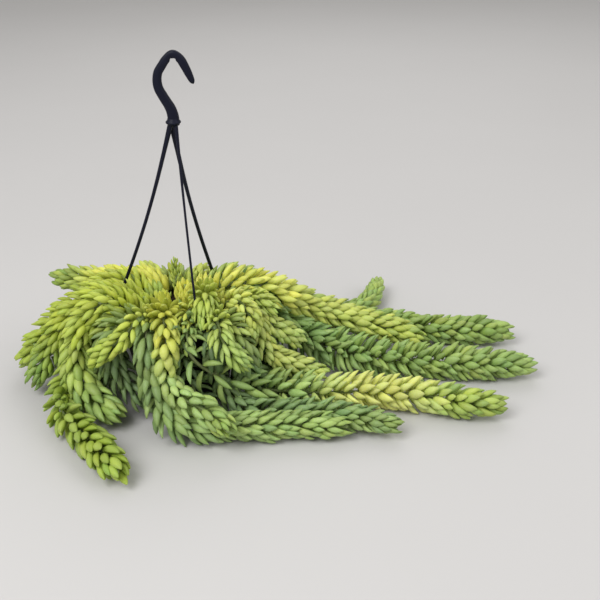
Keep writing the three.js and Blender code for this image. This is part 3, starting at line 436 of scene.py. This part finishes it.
class Wire:
    """A value in a shader. + - and * with wires or numbers add Math nodes."""

    def __init__(self, finish, socket):
        self.finish, self.socket = finish, socket

    def math(self, operation, first, second):
        return self.finish.node("ShaderNodeMath", {"operation": operation}, {0: first, 1: second})

    def __add__(self, other):
        return self.math("ADD", self, other)

    __radd__ = __add__

    def __mul__(self, other):
        return self.math("MULTIPLY", self, other)

    __rmul__ = __mul__

    def __sub__(self, other):
        return self.math("SUBTRACT", self, other)

    def __rsub__(self, other):
        return self.math("SUBTRACT", other, self)


class Finish:
    """A material being written: node() adds any node, the rest are its common uses."""

    def __init__(self, name):
        self.material = bpy.data.materials.new(name)
        self.material.use_nodes = True
        self.tree = self.material.node_tree
        self.tree.nodes.clear()

    def node(self, kind, settings, values, output=0):
        """A node of a kind with its settings, and a value or a wire for each named socket."""
        node = self.tree.nodes.new(kind)
        for key, value in settings.items():
            if key == "stops":
                ramp = node.color_ramp
                while len(ramp.elements) < len(value):
                    ramp.elements.new(0.5)
                for element, (position, colour) in zip(ramp.elements, value):
                    element.position = position
                    element.color = (*colour, 1)
            else:
                setattr(node, key, value)
        for key, value in values.items():
            if isinstance(value, Wire):
                self.tree.links.new(value.socket, node.inputs[key])
            elif isinstance(value, tuple) and len(value) == 3 and node.inputs[key].type == "RGBA":
                node.inputs[key].default_value = (*value, 1)
            else:
                node.inputs[key].default_value = value
        return Wire(self, node.outputs[output]) if node.outputs else None

    def mark(self, name):
        """A value that the piece keeps at each of its points."""
        return self.node("ShaderNodeAttribute", {"attribute_name": name}, {}, "Fac")

    def noise(self, scale, detail, roughness=0.5):
        place = self.node("ShaderNodeTexCoord", {}, {}, "Object")
        values = {"Vector": place, "Scale": scale, "Detail": detail, "Roughness": roughness}
        return self.node("ShaderNodeTexNoise", {}, values, "Fac")

    def mix(self, share, first, second):
        """Two colours mixed by a share, which is kept from 0 to 1."""
        return self.node("ShaderNodeMix", {"data_type": "RGBA", "clamp_factor": True},
                         {0: share, 6: first, 7: second}, 2)

    def ramp(self, share, *stops):
        return self.node("ShaderNodeValToRGB", {"stops": stops}, {"Fac": share}, "Color")

    def band(self, value, low, high):
        """0 below low, 1 above high and a smooth step between."""
        return self.node("ShaderNodeMapRange", {"interpolation_type": "SMOOTHSTEP"},
                         {"Value": value, "From Min": low, "From Max": high}, "Result")

    def bump(self, height, distance, strength):
        values = {"Height": height, "Distance": distance, "Strength": strength}
        return self.node("ShaderNodeBump", {}, values, "Normal")

    def surface(self, **values):
        """The Principled surface with the given sockets, joined to the output."""
        sockets = {key.replace("_", " "): value for key, value in values.items()}
        shader = self.node("ShaderNodeBsdfPrincipled", {}, sockets)
        self.node("ShaderNodeOutputMaterial", {}, {"Surface": shader})
        return self.material


def leaf_finish(name, green, gold):
    """Waxy succulent skin. A leaf goes from green to gold by its gold mark, pales by its bloom, in a
    warmer tone where it is golden, and darkens by its deep mark, which is painted shade for leaves
    in the shade inside the plant; its foot is lighter, its tip a little deeper, and a fine mottle
    and a fine pitted bump cover it. The stem inside is brownish at the root and green at the tip."""
    f = Finish(name)
    draw = f.mark("draw")
    along = f.mark("along")
    mottle = f.noise(160.0, 4.0, 0.6)
    colour = f.mix(f.mark("gold") + (mottle - 0.5) * 0.3 + (0.45 - along) * 0.18, green, gold)
    wax = f.band(f.noise(420.0, 3.0, 0.65), 0.35, 0.7)
    pale = f.mix(f.mark("gold"), (0.44, 0.635, 0.275), (0.64, 0.68, 0.25))
    colour = f.mix(f.mark("bloom") * (0.62 + wax * 0.3), colour, pale)
    # Painted shade: leaves in the shade inside the plant are darkened by their mark, then each gets a
    # random tone and a deeper tip
    shade = 1 - f.mark("deep") * 0.62
    shade = shade * (0.84 + draw * 0.3) * (1.04 - f.band(along, 0.72, 1.0) * 0.16)
    colour = f.node("ShaderNodeVectorMath", {"operation": "SCALE"}, {0: colour, "Scale": shade},
                    "Vector")
    stem = f.mix(along, (0.15, 0.17, 0.075), (0.26, 0.34, 0.12))
    colour = f.mix(f.mark("stem"), colour, stem)
    height = f.noise(1500.0, 2.0) * 0.35 + f.noise(260.0, 3.0) * 0.65
    return f.surface(Base_Color=colour, Roughness=0.40 + wax * 0.16, Normal=f.bump(height, 0.0005, 0.5),
                     Specular_IOR_Level=0.42, Subsurface_Weight=0.2, Subsurface_Scale=0.003,
                     Subsurface_Radius=(0.8, 1.0, 0.35), IOR=1.42)


def plastic_finish(name, colour, roughness):
    """Moulded black plastic: an uneven gloss, faint dust in patches and a fine grain."""
    f = Finish(name)
    cloud = f.noise(45.0, 4.0, 0.6)
    dust = f.band(f.noise(120.0, 5.0, 0.7), 0.5, 0.8)
    pale = tuple(c * 2 + 0.01 for c in colour)
    base = f.mix(dust * 0.25, colour, pale)
    grain = f.noise(2200.0, 2.0) * 0.5 + cloud * 0.5
    return f.surface(Base_Color=base, Roughness=roughness + cloud * 0.16,
                     Normal=f.bump(grain, 0.0003, 0.35), Specular_IOR_Level=0.22)


def soil_finish(name):
    """Moist peat: dark brown crumbs with lighter fibres and a rough, broken surface."""
    f = Finish(name)
    clods = f.noise(240.0, 6.0, 0.7)
    fibre = f.band(f.noise(700.0, 3.0, 0.6), 0.6, 0.75)
    base = f.ramp(clods, (0.3, (0.012, 0.008, 0.005)), (0.55, (0.045, 0.028, 0.016)),
                  (0.75, (0.11, 0.07, 0.04)))
    base = f.mix(fibre * 0.5, base, (0.2, 0.14, 0.085))
    return f.surface(Base_Color=base, Roughness=0.93, Normal=f.bump(clods, 0.0015, 0.9),
                     Specular_IOR_Level=0.2)


def floor_finish(name):
    """A plain pale surface with the faintest cloudiness."""
    f = Finish(name)
    base = f.mix(f.noise(3.0, 2.0), (0.55, 0.54, 0.535), (0.57, 0.56, 0.555))
    return f.surface(Base_Color=base, Roughness=0.7, Specular_IOR_Level=0.2)


# Shapes

def look_up(stops, share):
    """The value at a share of the stem: straight lines between the stops, or one number for all."""
    if isinstance(stops, (int, float)):
        return np.full(np.shape(share), float(stops))
    places, values = zip(*stops)
    return np.interp(share, places, values)


def unit(vectors):
    return vectors / np.maximum(np.linalg.norm(vectors, axis=-1, keepdims=True), 1e-12)


def even_turns(sides):
    return 2 * pi * np.arange(sides) / sides


def level_rings(radius, height, sides):
    """A level circle round the axis for each radius and height."""
    turn = even_turns(sides)
    return np.stack([np.outer(radius, np.cos(turn)), np.outer(radius, np.sin(turn)),
                     np.repeat(np.reshape(height, (-1, 1)), sides, axis=1)], axis=-1)


def smooth_line(points, gap):
    """Points an even gap apart on the smooth curve through the given ones, and its length.

    Each span is the cubic with its ends' places and slopes. A slope blends the three chords round
    its point, with steps as long as the square roots of their lengths, and the ends are mirrored.
    """
    points = np.array(points, float)
    padded = np.vstack([2 * points[0] - points[1], points, 2 * points[-1] - points[-2]])
    step = np.sqrt(np.linalg.norm(np.diff(padded, axis=0), axis=1))[:, None]
    before, here, after = step[:-2], step[1:-1], step[2:]
    p0, p1, p2, p3 = padded[:-3], padded[1:-2], padded[2:-1], padded[3:]
    leave = ((p1 - p0) / before - (p2 - p0) / (before + here) + (p2 - p1) / here) * here
    arrive = ((p2 - p1) / here - (p3 - p1) / (here + after) + (p3 - p2) / after) * here
    t = np.linspace(0, 1, 25)[None, :-1, None]
    square = -3 * p1 + 3 * p2 - 2 * leave - arrive
    cube = 2 * p1 - 2 * p2 + leave + arrive
    fine = p1[:, None] + leave[:, None] * t + square[:, None] * t**2 + cube[:, None] * t**3
    fine = np.vstack([fine.reshape(-1, 3), points[-1]])
    run = np.concatenate([[0], np.cumsum(np.linalg.norm(np.diff(fine, axis=0), axis=1))])
    even = np.linspace(0, run[-1], max(4, int(round(run[-1] / gap))) + 1)
    return np.stack([np.interp(even, run, fine[:, k]) for k in range(3)], axis=1), run[-1]


def carried_frames(line, first_side):
    """Tangents along a line and two vectors square to them, carried along it without twist: each
    side is the one before with its part along the new tangent taken off."""
    tangents = unit(np.gradient(line, axis=0))
    sides = []
    side = np.array(first_side, float)
    for tangent in tangents:
        side = side - tangent * (side @ tangent)
        side = side / np.linalg.norm(side)
        sides.append(side)
    sides = np.array(sides)
    return tangents, sides, np.cross(tangents, sides)


def tube_faces(rings, sides):
    """Quads between the rings of a closed tube, and fans to the two poles that follow them."""
    i, j = np.meshgrid(np.arange(rings - 1), np.arange(sides), indexing="ij")
    ahead = (j + 1) % sides
    quads = np.stack([i * sides + j, i * sides + ahead, (i + 1) * sides + ahead, (i + 1) * sides + j],
                     axis=-1).reshape(-1, 4)
    k = np.arange(sides)
    after = (k + 1) % sides
    last = (rings - 1) * sides
    start, end = np.full(sides, rings * sides), np.full(sides, rings * sides + 1)
    fans = np.vstack([np.stack([start, after, k], 1), np.stack([end, last + k, last + after], 1)])
    return quads, fans


def plain_mesh(name, points, faces):
    mesh = bpy.data.meshes.new(name)
    mesh.from_pydata(np.asarray(points).tolist(), [], faces)
    mesh.update()
    return mesh


def placed(name, data):
    """A new object in the scene."""
    thing = bpy.data.objects.new(name, data)
    bpy.context.scene.collection.objects.link(thing)
    return thing


def finish_piece(piece, replaced):
    """Makes an object a piece that rides on the root and stands for a CAD node."""
    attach(piece, "root")
    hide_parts(replaced)


class Bodies:
    """Closed surfaces gathered for one piece, with values kept at each point."""

    def __init__(self):
        self.points, self.quads, self.fans, self.marks, self.count = [], [], [], {}, 0

    def add(self, points, quads, fans, **marks):
        """Copies of one surface: points is copies by points by 3, a mark copies by points."""
        copies, size = points.shape[:2]
        shift = self.count + size * np.arange(copies)[:, None, None]
        self.points.append(points.reshape(-1, 3))
        self.quads.append((quads[None] + shift).reshape(-1, 4))
        self.fans.append((fans[None] + shift).reshape(-1, 3))
        for name, values in marks.items():
            spread = np.broadcast_to(values, (copies, size)).reshape(-1)
            self.marks.setdefault(name, []).append(spread)
        self.count += copies * size

    def piece(self, name, material, slot, replaced):
        """The gathered surfaces as one smooth piece."""
        faces = np.vstack(self.quads).tolist() + np.vstack(self.fans).tolist()
        mesh = plain_mesh(name, np.vstack(self.points), faces)
        mesh.shade_smooth()
        for mark, values in self.marks.items():
            attribute = mesh.attributes.new(mark, "FLOAT", "POINT")
            attribute.data.foreach_set("value", np.concatenate(values).astype(np.float32))
        mesh.materials.append(material)
        finish_piece(placed(name, mesh), replaced)


def wall_radius(z):
    """The outer radius of the pot's wall at a height, in metres."""
    return (POT_BASE_RADIUS * MM
            + (POT_MOUTH_RADIUS - POT_BASE_RADIUS) / POT_HEIGHT * np.clip(z, 0, POT_HEIGHT * MM))


def kept_clear(line, radius, base):
    """A leaf's centre line pushed off the surface, the soil and the pot.

    Its height is at least its own radius. Leaves that start over the soil stay above the soil and
    above the rim where they cross it, and the others stay outside the wall and the rim.
    """
    line = line.copy()
    across = np.hypot(line[..., 0], line[..., 1])
    start = np.hypot(base[:, 0], base[:, 1])
    inside = ((start < START_RADIUS * MM) & (base[:, 2] > START_HEIGHT * MM))[:, None]
    floor = np.where(across < SOIL_RADIUS * MM, (SOIL_TOP + SOIL_CLEAR) * MM,
                     POT_HEIGHT * MM + RIM_CLEAR * MM) + radius
    over_pot = across < RIM_RADIUS * MM + radius
    lifted = np.maximum(line[..., 2], floor)
    line[..., 2] = np.where(inside & over_pot, lifted, line[..., 2])
    by_rim = line[..., 2] > (POT_HEIGHT - RIM_SKIRT) * MM - radius
    wall = np.where(by_rim, RIM_RADIUS * MM, wall_radius(line[..., 2])) + radius
    beside = ~inside & (line[..., 2] < POT_HEIGHT * MM + radius) & (across < wall)
    push = np.where(beside, wall / np.maximum(across, 1e-6), 1.0)
    line[..., 0] *= push
    line[..., 1] *= push
    line[..., 2] = np.maximum(line[..., 2], radius + GROUND_CLEAR * MM)
    return line


def leaf_points(base, tangent, outward, length, half, spread, curl, lift):
    """Plump pointed leaves, one for each row of the arrays.

    The centre line leaves the stem at spread plus half the curl from the tangent, turns by the curl
    to the tip, and bends upwards by lift times the share. The half width follows
    share ** LEAF_BASE_POWER * (1 - share) ** LEAF_TIP_POWER, scaled to 1 at its widest. The section
    is an ellipse with a flatter inner half.
    """
    share = LEAF_STATIONS
    angle = spread[:, None] + curl[:, None] * (0.5 - share)
    heading = (np.cos(angle)[..., None] * tangent[:, None] + np.sin(angle)[..., None] * outward[:, None]
               + (lift[:, None] * share)[..., None] * UP)
    heading = unit(heading)
    middle = (heading[:, 1:] + heading[:, :-1]) / 2 * np.diff(share)[:, None]
    run = np.concatenate([np.zeros((len(base), 1, 3)), np.cumsum(middle, axis=1)], axis=1)
    shape = share**LEAF_BASE_POWER * (1 - share)**LEAF_TIP_POWER
    widest = LEAF_BASE_POWER / (LEAF_BASE_POWER + LEAF_TIP_POWER)
    shape = shape / (widest**LEAF_BASE_POWER * (1 - widest)**LEAF_TIP_POWER)
    radius = half[:, None] * shape
    line = base[:, None] + run * length[:, None, None]
    line = kept_clear(line, radius * LEAF_OUTER, base)
    heading = unit(np.gradient(line, axis=1))
    outer = np.cos(angle)[..., None] * outward[:, None] - np.sin(angle)[..., None] * tangent[:, None]
    outer = unit(outer - heading * np.sum(outer * heading, axis=-1, keepdims=True))
    side = np.cross(outer, heading)
    turn = even_turns(LEAF_SIDES)
    depth = np.sin(turn) * np.where(np.sin(turn) > 0, LEAF_OUTER, LEAF_INNER)
    ring = side[:, 1:-1, None] * np.cos(turn)[:, None] + outer[:, 1:-1, None] * depth[:, None]
    rings = line[:, 1:-1, None] + ring * radius[:, 1:-1, None, None]
    points = np.concatenate([rings.reshape(len(base), -1, 3), line[:, :1], line[:, -1:]], axis=1)
    points[..., 2] = np.maximum(points[..., 2], LOWEST_POINT * MM)
    return points


LEAF_QUADS, LEAF_FANS = tube_faces(len(LEAF_STATIONS) - 2, LEAF_SIDES)
LEAF_ALONG = np.concatenate([np.repeat(LEAF_STATIONS[1:-1], LEAF_SIDES), [0.0, 1.0]])


def stem_tube(bodies, line, tangents, sides, binormals, core):
    """The stem: circles along its line that narrow to the tip, and that past the first fifth are
    never more than CORE_DEPTH inside the core where the leaves start. It is closed at both ends."""
    share = np.linspace(0, 1, len(line))
    covered = (look_up(core, share) - CORE_DEPTH) * np.minimum(share / 0.2, 1)
    radius = np.maximum(STEM_RADIUS - STEM_TAPER * share, covered) * MM
    turn = even_turns(LEAF_SIDES)
    ring = sides[:, None] * np.cos(turn)[:, None] + binormals[:, None] * np.sin(turn)[:, None]
    points = line[:, None] + ring * radius[:, None, None]
    points = np.concatenate([points.reshape(-1, 3), line[:1], line[-1:] + tangents[-1:] * MM])
    quads, fans = tube_faces(len(line), LEAF_SIDES)
    along = np.concatenate([np.repeat(share, LEAF_SIDES), [0.0, 1.0]])
    bodies.add(points[None], quads, fans, along=along[None], gold=0.3, bloom=0.1, deep=0.0, draw=0.5,
               stem=1.0)


def grow_tail(plant, index, material):
    """A stem and its leaves as one piece. Returns how many leaves it has.

    Leaves follow each other at the golden angle, with the stretch of stem that step gives each one.
    The sine of a leaf's spread is its reach over its span, so the tail is as thick as its solid.
    The last leaves close into a bud.
    """
    random = np.random.default_rng([SEED, index])
    line, total = smooth_line(np.array(plant["line"]) * MM, STEM_GAP * MM)
    share = np.linspace(0, 1, len(line))
    tangents, sides, binormals = carried_frames(line, FIRST_SIDE)

    gap = total / (len(line) - 1) / MM
    crowd = np.concatenate([[0], np.cumsum(gap / look_up(plant["step"], share[1:]))])
    last_leaf = look_up(plant["leaf"], 1.0) * MM / total
    count = int(np.interp(1 - BUD_ROOM * last_leaf, share, crowd))
    at = np.interp(np.arange(count) + 0.5, crowd, share)

    def vary(what, middle=0):
        return random.normal(middle, VARY[what], count)

    def here(values):
        low = np.floor(at * (len(line) - 1)).astype(int)
        part = (at * (len(line) - 1) - low)[:, None]
        return values[low] * (1 - part) + values[np.minimum(low + 1, len(line) - 1)] * part

    turn = np.arange(count) * GOLDEN_ANGLE + vary("turn")
    centre, tangent, side = here(line), unit(here(tangents)), unit(here(sides))
    outward = side * np.cos(turn)[:, None] + np.cross(tangent, side) * np.sin(turn)[:, None]
    length = look_up(plant["leaf"], at) * vary("length", 1).clip(*LENGTHS)
    reach = look_up(plant["reach"], at + LEAF_FORWARD * length * MM / total)
    reach = np.maximum(reach, np.where(at < plant["neck_end"], plant["neck"], 0))
    bud = np.clip((at - 1 + BUD_START * last_leaf) / ((BUD_START - BUD_ROOM) * last_leaf), 0, 1)
    length = length * (1 - BUD_SHORTER * bud)
    core = look_up(plant["core"], at)
    sine = np.clip((reach - core - TIP_ROOM) / (LEAF_SPAN * length), *SINES)
    spread = (np.arcsin(sine) + vary("spread")) * (1 - BUD_CLOSING * bud)
    base = centre + outward * core[:, None] * MM
    # The first mark is painted shade, darkness for leaves in the shade inside the plant; gold and bloom
    # are their own colour
    marks = {mark: np.clip(look_up(plant[mark], at) + vary(mark), 0, 1)
             for mark in ("deep", "gold", "bloom")}
    marks["draw"] = random.random(count)
    curl = np.radians(look_up(plant["curl"], at)) * vary("curl", 1)
    half = length * look_up(plant["plump"], at) / 2 * vary("width", 1)
    lift = look_up(plant["lift"], at) + vary("lift")
    grown = ((centre[:, 2] > (SOIL_TOP + SOIL_CLEAR) * MM)
             | (np.hypot(centre[:, 0], centre[:, 1]) > BARE_RADIUS * MM))
    points = leaf_points(base[grown], tangent[grown], outward[grown], length[grown] * MM,
                         half[grown] * MM, spread[grown], curl[grown], lift[grown])

    bodies = Bodies()
    stem_tube(bodies, line, tangents, sides, binormals, plant["core"])
    bodies.add(points, LEAF_QUADS, LEAF_FANS, along=LEAF_ALONG[None], stem=0.0,
               **{mark: values[grown][:, None] for mark, values in marks.items()})
    bodies.piece("leafy_" + plant["name"], material, plant["slot"], plant["name"])
    return count


def shoot_as_tail(name, slot, place, top, reach, gold, bloom, neck):
    """A short shoot in the form of the tails: up from the soil, with its leaves in the upper part."""
    x, y = place

    def point(lean, z):
        return (x * (1 + lean * SHOOT_LEAN), y * (1 + lean * SHOOT_LEAN), z)

    end = top - reach * SHOOT_TIP
    line = [point(0, SHOOT_FOOT), point(1, min(SHOOT_BEND, end - SHOOT_RISE)), point(SHOOT_OUT, end)]
    return tail(name, slot, line, [(0.35, 3), (0.6, reach), (1, reach * 0.8)],
                leaf=[(0, 1.4 * reach), (0.7, 1.5 * reach), (1, 1.2 * reach)], step=[(0, 1.6), (1, 1.3)],
                gold=gold, bloom=bloom, lift=0.1, plump=0.37, core=1.5, neck=neck)


def rounded(corners, cut, steps=5):
    """A line whose inner corners are small arcs: each is the parabola between the points that lie
    the cut before and after the corner."""
    corners = np.array(corners, float)
    middle = corners[1:-1]
    t = np.linspace(0, 1, steps)[None, :, None]
    first = (middle + unit(corners[:-2] - middle) * cut)[:, None]
    last = (middle + unit(corners[2:] - middle) * cut)[:, None]
    arcs = first * (1 - t)**2 + 2 * middle[:, None] * t * (1 - t) + last * t**2
    return np.vstack([corners[:1], arcs.reshape(-1, 2), corners[-1:]])


def turned(outline, sides):
    """A body turned round the axis: an outline of (radius, height) points whose first and last lie
    on the axis and become the poles."""
    outline = np.array(outline, float)
    rings = level_rings(outline[1:-1, 0], outline[1:-1, 1], sides)
    poles = [[0, 0, outline[0, 1]], [0, 0, outline[-1, 1]]]
    quads, fans = tube_faces(len(rings), sides)
    return np.concatenate([rings.reshape(-1, 3), poles]), quads.tolist() + fans.tolist()


def bar(centre, across, round_about, low, high):
    """A box as corner points: a thickness along the radius, a width round it, and two heights."""
    radial = unit(np.array([centre[0], centre[1], 0.0]))
    around = np.cross(UP, radial)
    corners = [np.array([*centre[:2], z]) + radial * a * across / 2 + around * b * round_about / 2
               for z in (low, high) for a, b in ((-1, -1), (1, -1), (1, 1), (-1, 1))]
    faces = [(3, 2, 1, 0), (4, 5, 6, 7), (0, 1, 5, 4), (1, 2, 6, 5), (2, 3, 7, 6), (3, 0, 4, 7)]
    return np.array(corners), faces


def around_rim(angle, radius):
    turn = radians(angle)
    return np.array([radius * cos(turn), radius * sin(turn), 0.0])


def cut_away(piece, cutters):
    """The piece with the cutters' solids taken out of it, as a plain mesh."""
    for cutter in cutters:
        modifier = piece.modifiers.new("cut", "BOOLEAN")
        modifier.operation, modifier.solver, modifier.object = "DIFFERENCE", "EXACT", cutter
    graph = bpy.context.evaluated_depsgraph_get()
    mesh = bpy.data.meshes.new_from_object(piece.evaluated_get(graph))
    piece.modifiers.clear()
    piece.data = mesh
    for cutter in cutters:
        bpy.data.objects.remove(cutter)


def build_pot(material):
    """The pot: its rounded section turned round the axis, with drain holes and the clips' slots."""
    rim_under, skirt = POT_HEIGHT - RIM_THICKNESS, POT_HEIGHT - RIM_SKIRT
    section = [(0, 0), (POT_BASE_RADIUS, 0), (wall_radius(rim_under * MM) / MM, rim_under),
               (RIM_RADIUS - POT_WALL, rim_under), (RIM_RADIUS - POT_WALL, skirt), (RIM_RADIUS, skirt),
               (RIM_RADIUS, POT_HEIGHT), (POT_MOUTH_RADIUS - POT_WALL, POT_HEIGHT),
               (wall_radius(POT_FLOOR * MM) / MM - POT_WALL, POT_FLOOR), (0, POT_FLOOR)]
    points, faces = turned(rounded(section, EDGE_CUT) * MM, POT_SIDES)
    piece = placed("plastic_pot", plain_mesh("pot", points, faces))
    cutters = []
    for k in range(DRAIN_HOLES):
        centre = around_rim(360 * (k + 0.5) / DRAIN_HOLES, DRAIN_CIRCLE)
        points, faces = turned([(0, -1), (DRAIN_RADIUS, -1), (DRAIN_RADIUS, POT_FLOOR + 2),
                                (0, POT_FLOOR + 2)], HOLE_SIDES)
        cutters.append(placed("hole", plain_mesh("hole", (points + centre) * MM, faces)))
    for angle, *_ in LEGS:
        points, faces = bar(around_rim(angle, CLIP_CIRCLE), CLIP_THICKNESS + 2 * FIT, CLIP_SLOT,
                            rim_under - 1, POT_HEIGHT + 2)
        cutters.append(placed("slot", plain_mesh("slot", points * MM, faces)))
    cut_away(piece, cutters)
    piece.data.materials.clear()
    piece.data.materials.append(material)
    piece.data.shade_smooth()
    piece.data.set_sharp_from_angle(angle=SHARP_ANGLE)
    finish_piece(piece, "pot")


def swept(line, half_across, half_round, first_side, corner, sides):
    """A bar along a line with a rounded section: a superellipse with two half widths per ring.

    A point of the section is half_across * |cos| ** (2 / corner) and half_round * |sin| ** (2 /
    corner), each with its own sign.
    """
    tangents, side, other = carried_frames(line, first_side)
    turn = even_turns(sides)
    x = np.sign(np.cos(turn)) * np.abs(np.cos(turn))**(2 / corner)
    y = np.sign(np.sin(turn)) * np.abs(np.sin(turn))**(2 / corner)
    ring = (side[:, None] * (half_across[:, None] * x)[..., None]
            + other[:, None] * (half_round[:, None] * y)[..., None])
    points = np.concatenate([(line[:, None] + ring).reshape(-1, 3), line[:1], line[-1:]])
    return points[None], *tube_faces(len(line), sides)


def build_hanger(material):
    """The hanger: hook, collar, three legs and their clips, each a swept body."""
    bodies = Bodies()
    hook, _ = smooth_line([(COLLAR + (x, 0, z)) * MM for x, z in HOOK_LINE], MM)
    share = np.linspace(0, 1, len(hook))
    half = look_up(HOOK_RADII, share) * MM
    end = np.clip(share - (1 - HOOK_TIP), 0, 1) / HOOK_TIP
    end = np.sqrt(np.clip(1 - end**2, 0.02, 1))
    points, quads, fans = swept(hook, half * end, half * HOOK_DEPTH * end, (1, 0, 0.1), 2.8, 20)
    seat = (np.abs(points[..., 0] - SEAT_X * MM) < SEAT_HALF * MM) & (points[..., 2] > SEAT_LOWEST * MM)
    points[..., 2] = np.where(seat, np.maximum(points[..., 2], SEAT_Z * MM), points[..., 2])
    bodies.add(points, quads, fans)

    # The collar: a low dome over a rounded flange.
    height, out = np.array(COLLAR_OUTLINE).T
    line = COLLAR * MM + np.outer(height, UP) * MM
    bodies.add(*swept(line, out * MM, out * MM, (1, 0, 0), 2.0, 32))

    for angle, bow, radius, (head_x, head_y) in LEGS:
        outward = around_rim(angle, 1.0)
        first_side = np.cross(UP, outward)
        foot = outward * CLIP_CIRCLE + UP * (POT_HEIGHT + 2)
        head = COLLAR + (head_x, head_y, -LEG_HEAD)
        rise = np.array([0, 0.1, 0.3, 0.5, 0.7, 0.9, 1])[:, None]
        stops = foot + (head - foot) * rise - outward * bow * np.sin(pi * rise)
        leg, _ = smooth_line(stops * MM, 3 * MM)
        half = radius * look_up(LEG_SHAPE, np.linspace(0, 1, len(leg))) * MM
        bodies.add(*swept(leg, half, half, first_side, 3.0, 16))
        under = POT_HEIGHT - RIM_THICKNESS - FIT
        inset = np.ones(CLIP_RINGS)
        inset[[0, -1]] = 0.8
        for wide, high in ((CLIP_WIDTH, POT_HEIGHT + CLIP_TOP), (CLIP_SLOT + 2, under)):
            heights = np.linspace(under - BARB_HEIGHT, high, CLIP_RINGS)[:, None] * UP
            rod = (outward * CLIP_CIRCLE + heights) * MM
            bodies.add(*swept(rod, wide / 2 * MM * inset, CLIP_THICKNESS / 2 * MM * inset,
                              first_side, 6.0, 24))
    bodies.piece("black_hanger", material, "hanger_black", "hanger")


def build_soil(material):
    """The soil: a crowned disc of rings whose top is rough, closed by a tapered underside, and
    crumbs on it, each a small ball with its radius changed at random."""
    random = np.random.default_rng(SEED)
    edge = POT_MOUTH_RADIUS - POT_WALL - FIT - SOIL_NARROWER
    share = np.linspace(1, 0.03, 26)
    top = level_rings(edge * share, share, SOIL_SIDES)
    x, y = top[..., 0], top[..., 1]
    rough = (np.sin(x * 0.55 + 1.1) * np.cos(y * 0.62) + 0.6 * np.sin(x * 1.3 - y * 1.1)
             + 0.5 * random.normal(0, 1, x.shape))
    top[..., 2] = (SOIL_TOP + SOIL_CROWN * (1 - share[:, None]**2)
                   + SOIL_ROUGH * rough * (share[:, None] < 0.98))
    radius, height = np.array(SOIL_UNDER).T
    rings = np.concatenate([level_rings(radius * edge, height, SOIL_SIDES), top])
    poles = np.array([[0, 0, height[0]], [0, 0, SOIL_TOP + SOIL_CROWN]])
    bodies = Bodies()
    bodies.add(np.concatenate([rings.reshape(-1, 3), poles])[None] * MM,
               *tube_faces(len(rings), SOIL_SIDES))

    latitude, columns = np.radians([-50, 0, 50]), 6
    ball = level_rings(np.cos(latitude), np.sin(latitude), columns).reshape(-1, 3)
    ball = np.concatenate([ball, [[0, 0, -1], [0, 0, 1]]])
    size = random.gamma(3, 0.4, CRUMBS).clip(0.5, 3)[:, None, None]
    squash = random.uniform(0.6, 1.3, (CRUMBS, 1, 3))
    dents = random.uniform(0.75, 1.2, (CRUMBS, len(ball), 1))
    out = edge * 0.96 * np.sqrt(random.random(CRUMBS))
    bearing = random.uniform(0, 2 * pi, CRUMBS)
    centre = np.stack([out * np.cos(bearing), out * np.sin(bearing),
                       SOIL_TOP + SOIL_CROWN * (1 - (out / edge)**2) + 0.4], axis=1)
    bodies.add((centre[:, None] + ball * size * squash * dents) * MM,
               *tube_faces(len(latitude), columns))
    bodies.piece("potting_soil", material, "soil", "soil")


def build_stage():
    """A plain pale floor, a soft key light from the upper left, a fill and an even sky."""
    corners = [(x * FLOOR_HALF, y * FLOOR_HALF, 0) for x, y in ((-1, -1), (1, -1), (1, 1), (-1, 1))]
    floor = placed("floor", plain_mesh("floor", corners, [(0, 1, 2, 3)]))
    floor.data.materials.append(floor_finish("pale_floor"))
    for name, place, size, power in LIGHTS:
        lamp = bpy.data.lights.new(name, "AREA")
        lamp.size, lamp.energy = size, power
        light = placed(name, lamp)
        light.location = place
        light.rotation_euler = (LIT_POINT - Vector(place)).to_track_quat("-Z", "Y").to_euler()
    world = bpy.data.worlds.new("sky")
    world.use_nodes = True
    sky = world.node_tree.nodes["Background"]
    sky.inputs["Color"].default_value = SKY_COLOUR
    sky.inputs["Strength"].default_value = SKY_STRENGTH
    bpy.context.scene.world = world
    bpy.context.scene.view_settings.view_transform = "Standard"


def build_camera():
    """The photograph's view: looking along +Y and down by the pitch, rolled round its own line."""
    pitch, roll = radians(CAMERA_PITCH), radians(CAMERA_ROLL)
    ahead = Vector((0, cos(pitch), -sin(pitch)))
    level_right, level_up = Vector((1, 0, 0)), Vector((0, sin(pitch), cos(pitch)))
    right = level_right * cos(roll) - level_up * sin(roll)
    up = level_right * sin(roll) + level_up * cos(roll)
    camera = placed("camera", bpy.data.cameras.new("camera"))
    camera.data.sensor_width = CAMERA_SENSOR
    camera.data.lens = CAMERA_LENS
    camera.matrix_world = (Matrix.Translation(CAMERA_PLACE)
                           @ Matrix((right, up, -ahead)).transposed().to_4x4())
    bpy.context.scene.camera = camera


build_camera()
build_stage()
build_pot(plastic_finish("pot_plastic", (0.012, 0.012, 0.014), 0.42))
build_hanger(plastic_finish("hanger_plastic", (0.002, 0.003, 0.013), 0.42))
build_soil(soil_finish("peat"))
finishes = {
    "leaf_green": leaf_finish("leaf_skin_green", (0.175, 0.298, 0.062), (0.50, 0.56, 0.090)),
    "leaf_yellow": leaf_finish("leaf_skin_yellow", (0.225, 0.345, 0.055), (0.71, 0.69, 0.085)),
    "leaf_bright": leaf_finish("leaf_skin_bright", (0.190, 0.325, 0.045), (0.52, 0.57, 0.060)),
    "leaf_blue": leaf_finish("leaf_skin_blue", (0.140, 0.245, 0.080), (0.44, 0.52, 0.10)),
}
plants = TAILS + [shoot_as_tail(*shoot) for shoot in SHOOTS]
leaf_total = sum(grow_tail(plant, k, finishes[plant["slot"]]) for k, plant in enumerate(plants))
print("leaves:", leaf_total)
